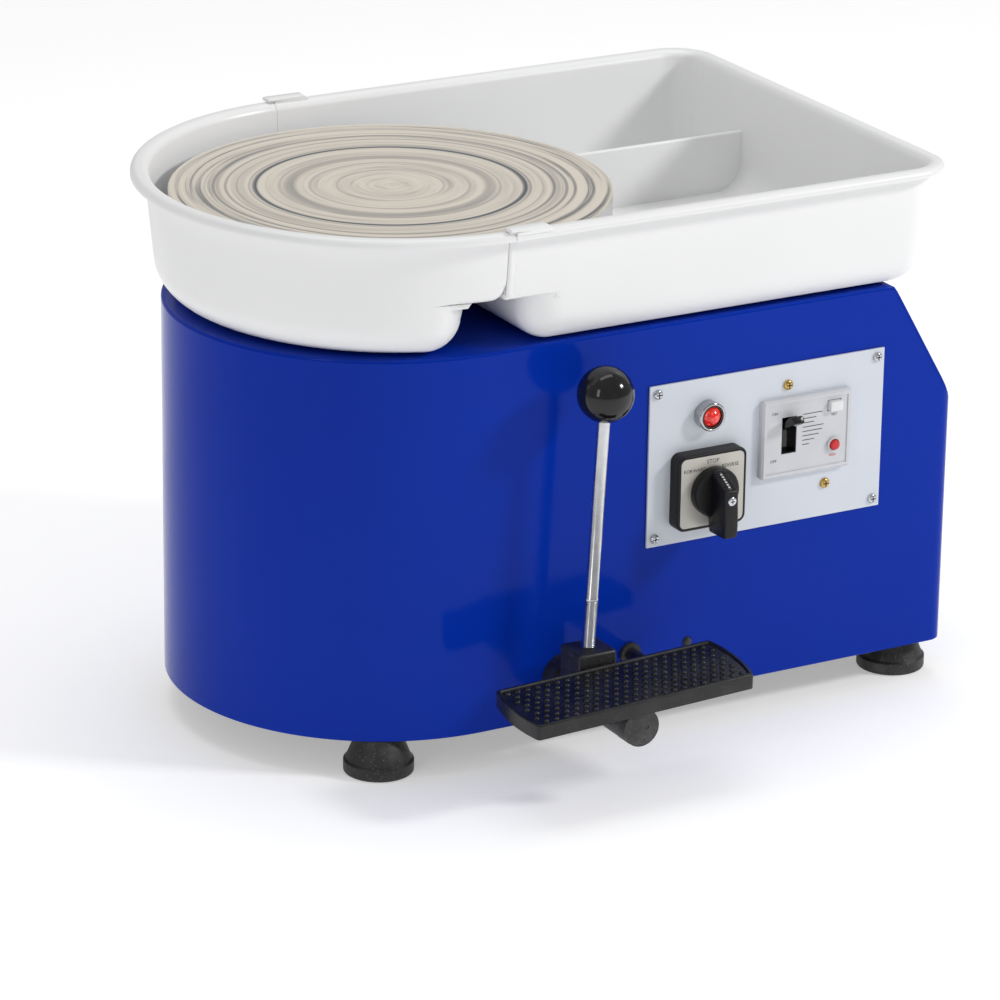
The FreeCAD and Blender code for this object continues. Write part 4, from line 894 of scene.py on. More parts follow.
def face_down(piece: Piece) -> None:
    """Turn an open sheet so that its lowest faces look down."""
    mesh = piece.data
    height = np.empty(len(mesh.polygons) * 3)
    mesh.polygons.foreach_get("center", height)
    normal = np.empty(len(mesh.polygons) * 3)
    mesh.polygons.foreach_get("normal", normal)
    level = height.reshape(-1, 3)[:, 2]
    lowest = level < level.min() + MM
    if normal.reshape(-1, 3)[lowest, 2].sum() > 0:
        mesh.flip_normals()


def dress_node(name: str, *paints: str) -> None:
    """Give a CAD node its procedural material in every slot."""
    node = bpy.data.objects[name]
    for slot, paint in zip(node.material_slots, paints * len(node.material_slots)):
        slot.material = PAINTS[paint]


def smooth_step(value: Points) -> Points:
    """Cubic ease from 0 to 1, held at both ends."""
    share = np.clip(value, 0, 1)
    return share * share * (3 - 2 * share)


def traced(points: Points) -> Outline:
    """Outline through points, with directions from the neighbours on both sides."""
    line = np.asarray(points, float)
    along = np.roll(line, -1, axis=0) - np.roll(line, 1, axis=0)
    along /= np.linalg.norm(along, axis=1, keepdims=True)
    normals = np.stack([along[:, 1], -along[:, 0]], -1)
    twice_area = np.sum(line[:, 0] * np.roll(line[:, 1], -1) - np.roll(line[:, 0], -1) * line[:, 1])
    return Outline(line, normals if twice_area > 0 else -normals)


def soft_block(low: float, high: float, radius: float, steps: int = 4) -> Points:
    """Levels of a slab whose two ends have round edges: inset r(1 - sin a), height r(1 - cos a)."""
    turn = np.linspace(0, math.pi / 2, steps + 1)
    inset = radius * (1 - np.sin(turn))
    rise = radius * (1 - np.cos(turn))
    lower = np.stack([inset, low + rise], -1)
    upper = np.stack([inset[::-1], high - rise[::-1]], -1)
    return np.concatenate([lower, upper])


def soft_top(low: float, high: float, radius: float, steps: int = 4) -> Points:
    """Levels of a slab with a flat foot and round top edges."""
    turn = np.linspace(0, math.pi / 2, steps + 1)[::-1]
    upper = np.stack([radius * (1 - np.sin(turn)), high - radius * (1 - np.cos(turn))], -1)
    return np.concatenate([[[0.0, low]], upper])


# Housing ---------------------------------------------------------------------

@dataclass
class Housing:
    """Blue sheet-metal housing: wrapped wall, bent deck, feet and bolts."""

    half: float = 124.0
    round_x: float = -6.0
    end_x: float = 305.0
    corner: float = 10.0
    height: float = 224.0
    sheet: float = 1.5
    edge: float = 1.3
    slope_x: float = 260.0
    slope_drop: float = 77.0
    fold_room: float = 1.6
    fold_reach: float = 12.0
    foot_height: float = 22.0
    foot_radius: float = 20.0
    foot_x: Pair = (-58.0, 285.0)
    foot_y: float = 98.0
    bolt_circle: float = 88.0

    def build(self) -> None:
        """Make the wall, the deck, the feet and the bolts."""
        self.wall()
        self.deck()
        self.feet()
        self.deck_bolts()
        for name, paint in (("base_plate", "black_paint"), ("base_screws", "zinc_steel"),
                            ("foot_screws", "foot_metal"), ("cord_gland", "black_plastic"),
                            ("small_screw", "black_paint")):
            dress_node(name, paint)

    def ramp(self, x: Points) -> Points:
        """Height of the deck: level, then down the rear slope, with a soft fold between.

        The drop is slope * (s + sqrt(s * s + fold_room)) / 2 for s = x - slope_x, which
        nears two straight legs away from the fold; ahead of the fold it is held at 0.
        """
        slope = self.slope_drop / (self.end_x - self.slope_x)
        past = np.asarray(x, float) - self.slope_x
        return -slope * (past + np.sqrt(past * past + self.fold_room)) / 2 * (past > -self.fold_reach)

    def under(self, x: Points) -> Points:
        """Underside of the deck's sheet."""
        run = self.end_x - self.slope_x
        lean = math.hypot(run, self.slope_drop) / run
        return self.ramp(x) - self.sheet * np.where(x > self.slope_x, lean, 1.0)

    def half_plan(self, inset: float) -> Points:
        """Half of the plan outline, from the front pole round to the rear face.

        The round end is (round_x + half cos a, half sin a), the side is straight, and
        the rear corner is a quarter turn.

        Args:
            inset: How far the outline is set in.

        Returns:
            Points of the half with positive y.
        """
        front = np.linspace(math.pi, math.pi / 2, 61)
        rear = np.linspace(math.pi / 2, 0, 9)
        straight = np.concatenate([np.linspace(20, 240, 8), np.linspace(246, 274, 15), [284.0]])
        side = np.stack([straight, np.full(len(straight), self.half - inset)], -1)
        centre = (self.end_x - self.corner, self.half - self.corner)
        return np.concatenate([arc((self.round_x, 0.0), self.half - inset, front), side,
                               arc(centre, self.corner - inset, rear)])

    def loop(self, inset: float, height: object) -> Points:
        """Closed row of the plan at a height, which may be a function of x."""
        half = self.half_plan(inset)
        both = np.concatenate([half * [1, -1], half[::-1]])
        level = height(both[:, 0]) if callable(height) else np.full(len(both), height)
        return np.concatenate([both, level[:, None]], axis=1)

    def wall(self) -> None:
        """Side wall: a ring of rows up the outside and down the inside."""
        low, middle, edge, gap, rounding = -self.height, 110.0, 0.35, 0.04, 0.3

        def top(x: Points) -> Points:
            """Just under the deck's sheet."""
            return self.under(x) - gap

        rows = [self.loop(edge, low), self.loop(0.0, low + edge), self.loop(0.0, low + middle),
                self.loop(0.0, lambda x: top(x) - rounding), self.loop(0.25, top),
                self.loop(self.sheet, top), self.loop(self.sheet, low), self.loop(edge, low)]
        skin = Skin("housing_wall").add(np.stack(rows), around=True)
        skin.cover(Body.HOUSING, "housing_paint", "side_wrap", sharp=30)

    def deck(self) -> None:
        """Deck and slope: an edge strip, then rungs from side to side.

        Each rung joins a point of the outline to its mirror image, at the height of
        the ramp under it, so the fold runs straight across.
        """
        turn = np.linspace(0, math.pi / 2, 5)
        foot = 0.2
        rows = [self.loop(foot, self.under), self.loop(0.0, lambda x: self.under(x) + foot)]
        for angle in turn:
            drop = self.edge * (1 - math.sin(angle))
            rows.append(self.loop(self.edge * (1 - math.cos(angle)),
                                  lambda x, d=drop: np.maximum(self.ramp(x) - d, self.under(x) + foot)))
        skin = Skin("housing_deck").add(np.stack(rows), around=True)
        for inset, height in ((self.edge, self.ramp), (foot, self.under)):
            half = self.half_plan(inset)
            across = np.linspace(-1, 1, 9)
            x = np.broadcast_to(half[:, :1], (len(half), 9))
            y = half[:, 1:] * across
            skin.add(np.stack([x, y, height(x)], -1))
        skin.cover(Body.HOUSING, "housing_paint", "top_deck", sharp=30)

    def feet(self) -> None:
        """Four rubber feet turned from one profile with a screw well."""
        low = -self.height - self.foot_height
        top = -self.height
        outside = rounded_profile(
            [(2.6, low + 7), (7.0, low + 7), (7.0, low), (self.foot_radius, low),
             (self.foot_radius, low + 7), (self.foot_radius - 1.4, low + 8.2), (13.0, top), (2.6, top)],
            {1: 0.8, 2: 0.8, 3: 1.2, 4: 0.5, 5: 0.8, 6: 0.8}, 4)
        skin = Skin("rubber_feet_turned")
        for x in self.foot_x:
            for y in (-self.foot_y, self.foot_y):
                skin.lathe(Axes((x, y, 0.0)), outside, 96, closed=True)
        skin.cover(Body.HOUSING, "foot_rubber", "rubber_feet")

    def deck_bolts(self) -> None:
        """Countersunk heads just proud of the deck, and hexagon nuts below the flange."""
        head = np.array([(0, -1.2), (5.2, -1.2), (5.6, -0.1), (5.4, 0.12), (3.6, 0.2), (3.4, -0.3),
                         (0, -0.35)])
        skin = Skin("deck_bolts")
        for turn in np.radians([45, 135, 225, 315]):
            x = self.bolt_circle / 2 * math.cos(turn)
            y = self.bolt_circle / 2 * math.sin(turn)
            skin.lathe(Axes((x, y, 0.0)), head, 32)
            skin.slab(Axes((x, y, 0.0)), circle(5.5, 6), soft_block(-14.5, -9.5, 0.4))
        skin.cover(Body.HOUSING, "zinc_steel", "bearing_bolts")


# Splash pan ------------------------------------------------------------------

@dataclass
class SplashPan:
    """Two-part white pan: a round front bowl and a rear tray with a divider."""

    joint_x: float = -2.0
    gap: float = 0.15
    round_x: float = 2.0
    floor_z: float = 1.0
    rise: float = 75.7
    wall: float = 2.8
    rim_z: float = 74.0
    rim_drop: float = 4.2
    lip_out: float = 5.2
    foot_half: float = 133.0
    top_half: float = 140.5
    foot_end: float = 277.5
    top_end: float = 279.5
    corner: float = 20.0
    bottom_r: float = 20.0
    ledge_z: float = 33.0
    hole_r: float = 25.0
    room_r: float = 30.0
    tunnel: Pair = (-17.0, 15.0)
    cove: Pair = (9.0, 1.5)
    low_edge: Pair = (3.0, 1.2)
    joint_round: float = 8.0
    lip_top: float = 39.3
    divider_y: float = 70.0
    divider_x: float = 112.0
    divider_top: float = 40.0

    def half(self, z: Points) -> Points:
        """Half width of the wall's outside at a height: it leans out evenly."""
        return self.foot_half + (np.asarray(z) - self.floor_z) / self.rise * (self.top_half - self.foot_half)

    def end(self, z: Points) -> Points:
        """Rear face of the wall's outside at a height."""
        return self.foot_end + (np.asarray(z) - self.floor_z) / self.rise * (self.top_end - self.foot_end)

    def front_loop(self, half: float, inset: float) -> Points:
        """Closed plan line of the front bowl.

        An arc of radius half - inset about (round_x, 0), two corners of radius
        corner - inset, and a straight chord that swells to room_r + inset about the
        shaft: x = min(chord, -sqrt(room * room - y * y)).

        Args:
            half: Half width of the bowl.
            inset: How far the line is set in.

        Returns:
            Points of the line: arc, corner, chord, corner.
        """
        corner_x = self.tunnel[0] - self.corner
        corner_y = math.sqrt((half - self.corner) ** 2 - (corner_x - self.round_x) ** 2)
        tangent = math.atan2(corner_y, corner_x - self.round_x)
        around = np.linspace(tangent, 2 * math.pi - tangent, 97)
        outer = arc((self.round_x, 0.0), half - inset, around)
        return self._closed(outer, (corner_x, -corner_y), (-tangent, 0.0), -1.0, inset)

    def _closed(self, outer: Points, corner: Pair, turns: Pair, side: float, inset: float) -> Points:
        """Close an outer line with a corner, the chord and the mirrored corner.

        Args:
            outer: Points of the outer line.
            corner: Centre of the first corner.
            turns: First and last angle of the first corner.
            side: Side of the shaft that the half is on, as the sign of X.
            inset: How far the line is set in.

        Returns:
            The whole closed line.
        """
        near = arc(corner, max(self.corner - inset, 0.0), np.linspace(*turns, 33)[1:])
        y = np.linspace(corner[1], -corner[1], 65)[1:]
        room = self.room_r + inset
        swell = np.sqrt(np.maximum(room * room - y * y, 0.0))
        edge = side * self.tunnel[0 if side < 0 else 1] + inset
        chord = np.stack([side * np.maximum(edge, swell), y], -1)
        return np.concatenate([outer, near, chord, near[::-1][1:] * [1, -1], outer[:1]])

    def rear_loop(self, half: float, end: float, inset: float) -> Points:
        """Closed plan line of the rear tray, in the same order as the front's."""
        corner_x = self.tunnel[1] + self.corner
        corner_y = half - self.corner
        side_x = np.linspace(corner_x, end - self.corner, 25)
        near_side = np.stack([side_x, np.full(25, -(half - inset))], -1)
        rear_near = arc((end - self.corner, -corner_y), max(self.corner - inset, 0.0),
                        np.linspace(-math.pi / 2, 0, 17)[1:])
        back = np.stack([np.full(15, end - inset), np.linspace(-corner_y, corner_y, 17)[1:-1]], -1)
        lower = np.concatenate([near_side, rear_near])
        outer = np.concatenate([lower, back, lower[::-1] * [1, -1]])
        return self._closed(outer, (corner_x, corner_y), (math.pi / 2, math.pi), 1.0, inset)

    def loop(self, front: bool, z: float, inset: float) -> Points:
        """Plan line of one half at a height."""
        if front:
            return self.front_loop(float(self.half(z)), inset)
        return self.rear_loop(float(self.half(z)), float(self.end(z)), inset)

    def arc_count(self, front: bool) -> int:
        """How many points of a plan line belong to the outer wall."""
        return 97 if front else 25 + 16 + 15 + 16 + 25

    def ledge_line(self, front: bool) -> Points:
        """Where the ledge ends, one point for each point of the plan line.

        Along the outer wall it stays on the wall. From the corners it runs on along
        the outline to the joint, then along the joint, and round the shaft's hole.

        Args:
            front: Whether it is the front half.

        Returns:
            Points in plan.
        """
        z = self.ledge_z
        half = float(self.half(z))
        line = self.loop(front, z, 0.0).copy()
        outer = self.arc_count(front)
        joint = self.joint_x - self.gap if front else self.joint_x + self.gap
        start = line[outer - 1]
        share = np.arange(1, 33) / 32
        along = np.clip(share / 0.5, 0, 1)
        eased = 1 - (1 - along) ** 1.6
        later = np.clip((share - 0.5) / 0.5, 0, 1)
        side = -1.0 if front else 1.0
        corner_y = abs(line[outer + 31, 1])
        if front:
            first = math.atan2(start[1], start[0] - self.round_x)
            last = -math.acos((joint - self.round_x) / half)
            turn = first + (last - first) * eased
            x = self.round_x + half * np.cos(turn)
            y = half * np.sin(turn)
        else:
            x = start[0] + (joint - start[0]) * eased
            y = np.full(32, side * half)
        reach_y = abs(y[-1])
        y = np.where(share > 0.5, side * (reach_y + (corner_y - reach_y) * later), y)
        x = np.where(share > 0.5, joint, x)
        line[outer:outer + 32] = np.stack([x, y], -1)
        chord_y = line[outer + 32:outer + 96, 1]
        hole = np.sqrt(np.maximum(self.hole_r ** 2 - chord_y ** 2, 0.0))
        line[outer + 32:outer + 96, 0] = np.minimum(joint, -hole) if front else np.maximum(joint, hole)
        line[outer + 96:-1] = line[outer:outer + 31][::-1] * [1, -1]
        return line

    def bowl(self, front: bool) -> tuple[Points, Points, Points]:
        """Floor, wall and ledge of one half as rows of its plan line.

        The floor shrinks to a middle point, the bottom edge is inset r(1 - sin a) at
        height r(1 - cos a), the wall rises to the ledge, a cove of small radius turns
        it out, and the ledge runs to its line.

        Args:
            front: Whether it is the front half.

        Returns:
            The rows, the ledge line and its heights.
        """
        middle = np.array([-70.0, 0.0]) if front else np.array([70.0, 0.0])
        rows = []
        edge = self.loop(front, self.floor_z, self.bottom_r)
        for share in (0.0, 0.35, 0.7, 0.92):
            rows.append(self._row(middle + (edge - middle) * share, self.floor_z))
        for angle in np.linspace(0, math.pi / 2, 11):
            z = self.floor_z + self.bottom_r * (1 - math.cos(angle))
            rows.append(self._row(self.loop(front, z, self.bottom_r * (1 - math.sin(angle))), z))
        base = self.loop(front, self.ledge_z, 0.0)
        target = self.ledge_line(front)
        away = target - base
        flare = np.linalg.norm(away, axis=1)
        heading = away / np.maximum(flare, 1e-9)[:, None]
        cove = np.minimum(self.cove[0 if front else 1], flare * 0.6)
        lower = self.low_edge[0 if front else 1] * smooth_step(flare / 12)
        outer = self.arc_count(front)
        on_joint = np.zeros(len(base), bool)
        on_joint[outer + 16:-17] = True
        lower = np.where(on_joint, 0.0, lower)
        lift = self._lift(target, front)
        for angle in np.linspace(0, math.pi / 2, 7):
            out = cove * (1 - math.cos(angle))
            rows.append(self._row(base + heading * out[:, None],
                                  self.ledge_z - cove + cove * math.sin(angle)))
        inward = self._inward(target, front)
        for share in (0.5, 1.0):
            spot = (base + heading * cove[:, None] * (1 - share)
                    + (target + inward * lower[:, None] - base) * share)
            rows.append(self._row(spot, self.ledge_z + lift * share))
        for angle in np.linspace(0, math.pi / 2, 4)[1:]:
            spot = target + inward * (lower * (1 - math.sin(angle)))[:, None]
            rows.append(self._row(spot, self.ledge_z + lift + lower * (1 - math.cos(angle))))
        return np.stack(rows), target, self.ledge_z + lift + lower

    @staticmethod
    def _row(flat: Points, height: object) -> Points:
        """Plan points with their heights."""
        level = np.broadcast_to(np.asarray(height, float), (len(flat),))
        return np.concatenate([flat, level[:, None]], axis=1)

    def _inward(self, target: Points, front: bool) -> Points:
        """Directions from the outline towards the inside of the pan."""
        if front:
            away = np.array([self.round_x, 0.0]) - target
            return away / np.maximum(np.linalg.norm(away, axis=1, keepdims=True), 1e-9)
        return np.stack([np.zeros(len(target)), -np.sign(target[:, 1])], -1)

    def _lift(self, target: Points, front: bool) -> Points:
        """How far the front's lower corner rises as it rounds towards the joint."""
        if not front:
            return np.zeros(len(target))
        radius = self.joint_round
        close = np.clip(radius - (self.joint_x - self.gap - target[:, 0]), 0, radius)
        rise = radius - np.sqrt(radius ** 2 - close ** 2)
        near_wall = smooth_step((np.abs(target[:, 1]) - 112) / 22)
        return rise * near_wall

    def band(self, front: bool, line: Points, heights: Points) -> Points:
        """Wall above the ledge, the rim and its lip, swept along the open outline.

        Row offsets follow the profile: up the wall, out through a quarter turn under
        the rim, over and down inside the lip.

        Args:
            front: Whether it is the front half.
            line: The ledge line in plan.
            heights: Its heights.

        Returns:
            Grid of points.
        """
        outer = self.arc_count(front)
        order = np.concatenate([np.arange(len(line) - 17, len(line) - 1), np.arange(0, outer + 16)])
        start = line[order]
        low = heights[order]
        under = self.rim_z - self.wall
        turn = np.linspace(0, math.pi / 2, 6)
        profile = [(0.0, 45.0), (0.0, 56.0), (0.0, under - 2.2)]
        profile += [(2.2 * (1 - math.cos(a)), under - 2.2 + 2.2 * math.sin(a)) for a in turn[1:]]
        profile += [(self.lip_out - 0.9 + 0.9 * math.sin(a), under - 0.9 + 0.9 * math.cos(a)) for a in turn]
        profile += [(self.lip_out, self.rim_z - self.rim_drop)]
        rows = [self._row(start, low)]
        for out, z in [(0.0, 40.0), *profile]:
            rows.append(self._row(self._spread(start, front, out, z), np.maximum(z, low)))
        return np.stack(rows)

    def _spread(self, start: Points, front: bool, out: float, z: float) -> Points:
        """The outline at a height and an offset, with its ends kept on the joint."""
        if front:
            half = float(self.half(z)) + out
            joint = self.joint_x - self.gap
            low_half = float(self.half(self.ledge_z))
            first = math.acos((joint - self.round_x) / low_half)
            last = math.acos((joint - self.round_x) / half)
            turn = np.mod(np.arctan2(start[:, 1], start[:, 0] - self.round_x), 2 * math.pi)
            turn = math.pi + (turn - math.pi) * (math.pi - last) / (math.pi - first)
            return np.stack([self.round_x + half * np.cos(turn), half * np.sin(turn)], -1)
        old_half, old_end = float(self.half(self.ledge_z)), float(self.end(self.ledge_z))
        half, end = float(self.half(z)) + out, float(self.end(z)) + out
        centre_x, centre_y = old_end - self.corner, old_half - self.corner
        dx = np.maximum(start[:, 0] - centre_x, 0.0)
        dy = np.maximum(np.abs(start[:, 1]) - centre_y, 0.0)
        straight_side = dx <= 0
        on_end = dy <= 0
        angle = np.arctan2(np.where(on_end, 0.0, dy), np.where(straight_side, 0.0, dx))
        radius = self.corner + out
        x = np.where(straight_side, start[:, 0], end - radius + out + radius * np.cos(angle) - out)
        y = np.where(on_end, start[:, 1],
                     np.sign(start[:, 1]) * (half - radius + radius * np.sin(
                         np.where(straight_side, math.pi / 2, angle))))
        return np.stack([x, y], -1)

    def shell(self, front: bool) -> None:
        """One half of the pan: its outer sheet, given a wall inwards."""
        rows, line, heights = self.bowl(front)
        name = "pan_front_bowl" if front else "pan_rear_tray"
        node = "splash_pan_front" if front else "splash_pan_rear"
        skin = Skin(name, weld=0.01).add(rows).add(self.band(front, line, heights))
        body = Body.FRONT_PAN if front else Body.REAR_PAN
        piece = skin.cover(body, "pan_plastic", node)
        face_down(piece)
        give_wall(piece, self.wall, even=False)
        settle(piece, 40)

    def build(self) -> None:
        """Make both halves and what stands on them."""
        self.shell(True)
        self.shell(False)
        self.shaft_lips()
        self.divider()
        self.tabs()

    def shaft_lips(self) -> None:
        """Half rings that stand round the shaft's hole on each half."""
        inner, outer = self.hole_r, self.hole_r + 2.5
        foot, top = self.ledge_z + 0.4, self.lip_top
        section = rounded_profile([(inner, foot), (inner, top), (outer, top), (outer, foot)],
                                  {1: 0.8, 2: 0.8}, 4)
        for front in (True, False):
            joint = self.joint_x - self.gap if front else self.joint_x + self.gap
            radius = section[:, :1]
            first = np.arccos(np.clip(joint / radius, -1, 1))
            share = np.linspace(0, 1, 49)
            turn = first + (2 * math.pi - 2 * first) * share if front else first * (1 - 2 * share)
            ring = turned(radius, turn, section[:, 1:])
            closed = np.concatenate([ring, ring[:1]])
            skin = Skin("pan_shaft_lip_front" if front else "pan_shaft_lip_rear").add(closed)
            for column in (0, -1):
                end = ring[:, column]
                skin.add(np.stack([end, np.tile(end.mean(axis=0), (len(end), 1))]), around=True)
            skin.cover(Body.FRONT_PAN if front else Body.REAR_PAN, "pan_plastic")

    def divider(self) -> None:
        """Low wall along the tray with a round top."""
        end = float(self.end(30.0)) - 1.0
        x = np.array([self.divider_x, end])
        mid = (x[0] + x[1]) / 2
        length = x[1] - x[0]
        outline = rounded_rectangle(length, 3.2, 1.4, 5)
        levels = soft_top(self.floor_z + 1.0, self.divider_top, 1.3)
        skin = Skin("pan_divider").slab(Axes((mid, self.divider_y, 0.0)), outline, levels)
        skin.cover(Body.REAR_PAN, "pan_plastic")

    def tabs(self) -> None:
        """Tabs of the rear half that lie over the front's rim, with the joint's beads."""
        skin = Skin("pan_joint_tabs")
        rim = self.top_half + self.lip_out + self.wall
        outline = self._tab_outline()
        width = np.array([(0.8, -4.2), (0.3, -4.0), (0.0, -3.5), (0.0, 3.5), (0.3, 4.0), (0.8, 4.2)])
        bead = rounded_rectangle(3.9, 3.4, 1.4, 5)
        low, high = self.ledge_z + 2.0, self.rim_z - 3.5
        for side in Side:
            sign = side.value
            axes = facing_controls(self.joint_x, 0.0, sign * (rim - 4.25))
            skin.slab(axes, outline, width)
            foot = float(self.half(low)) - 0.7
            top = float(self.half(high)) - 0.7
            up = np.array([0.0, sign * (top - foot), high - low])
            up /= np.linalg.norm(up)
            axes = Axes((self.joint_x + 2.2, sign * foot, low), (1.0, 0.0, 0.0),
                        (0.0, up[2], -up[1]), tuple(up))
            skin.slab(axes, bead, soft_block(0.0, high - low, 0.8))
        skin.cover(Body.REAR_PAN, "pan_plastic")

    def _tab_outline(self) -> Outline:
        """Side view of a tab: a round nose over the front's rim and a ramp behind."""
        low, high = self.rim_z + 0.2, self.rim_z + 2.35
        line = rounded_profile([(-4.0, low), (0.3, low), (0.3, self.rim_z - 1.5), (22.0, self.rim_z - 1.5),
                                (23.0, self.rim_z + 0.1), (20.0, high), (-4.0, high)],
                               {5: 2.2}, 5)
        nose = rounded_profile([(0.0, high), (-4.0, high), (-4.0, low), (0.0, low)], {1: 1.2, 2: 0.6}, 5)
        return traced(np.concatenate([line[1:-1], nose[1:-1]]))


# Wheel head ------------------------------------------------------------------

@dataclass
class WheelHead:
    """Turned head with a short skirt, and the parts that turn with it."""

    radius: float = 125.0
    top: float = 61.5
    thickness: float = 6.5
    skirt: float = 20.0
    skirt_wall: float = 3.0
    edge: float = 1.4

    def build(self) -> None:
        """Make the head and dress what turns under it."""
        under = self.top - self.thickness
        low = self.top - self.skirt
        inner = self.radius - self.skirt_wall
        line = rounded_profile([(0, under), (inner, under), (inner, low), (self.radius, low),
                                (self.radius, self.top), (0, self.top)],
                               {1: 2.5, 2: 0.6, 3: 0.8, 4: self.edge}, 5)
        rings = np.linspace(self.radius - self.edge, 0, 26)[1:]
        flat = np.stack([rings, np.full(len(rings), self.top)], -1)
        profile = np.concatenate([line[:-1], flat])
        Skin("wheel_head_turned").lathe(Axes((0.0, 0.0, 0.0)), profile, 288).cover(
            Body.WHEEL, "head_aluminium", "wheel_head")
        for name, paint in (("head_hub", "aluminium"), ("hub_screws", "zinc_steel"),
                            ("main_shaft", "ground_steel"), ("circlip", "zinc_steel"),
                            ("splash_collar", "foot_rubber"), ("driven_pulley", "aluminium")):
            dress_node(name, paint)


# Control panel ---------------------------------------------------------------

def printed(name: str, text: str, height: float, axes: Axes, body: Body, paint: str,
            thickness: float = 0.05) -> None:
    """Print a word as thin raised ink, centred on a place.

    The letters are made a mesh first, scaled so that a capital is as tall as asked,
    and then carried onto the surface.

    Args:
        name: Name of the piece.
        text: The word.
        height: Height of a capital in millimetres.
        axes: Local frame; the word reads along right and stands up along up.
        body: Body that it rides on.
        paint: Finish of the ink.
        thickness: Thickness of the ink in millimetres.
    """
    curve = bpy.data.curves.new(name, "FONT")
    curve.body = text
    curve.align_x = "CENTER"
    curve.align_y = "CENTER"
    curve.resolution_u = 3
    curve.extrude = 0.02
    holder = new_object(name + "_type", curve)
    bpy.context.view_layer.update()
    mesh = bpy.data.meshes.new_from_object(holder.evaluated_get(bpy.context.evaluated_depsgraph_get()))
    bpy.data.objects.remove(holder)
    flat = np.empty(len(mesh.vertices) * 3)
    mesh.vertices.foreach_get("co", flat)
    flat = flat.reshape(-1, 3)
    capital = 0.7
    flat[:, :2] *= height / capital
    flat[:, 2] = np.where(flat[:, 2] > 0, thickness, 0.0)
    mesh.vertices.foreach_set("co", LAYOUT.place(axes.carry(flat)).reshape(-1))
    mesh.update()
    mesh.materials.clear()
    mesh.materials.append(PAINTS[paint])
    piece = new_object(name, mesh)
    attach(piece, body.value)
    LOG.info("%s: printed", name)


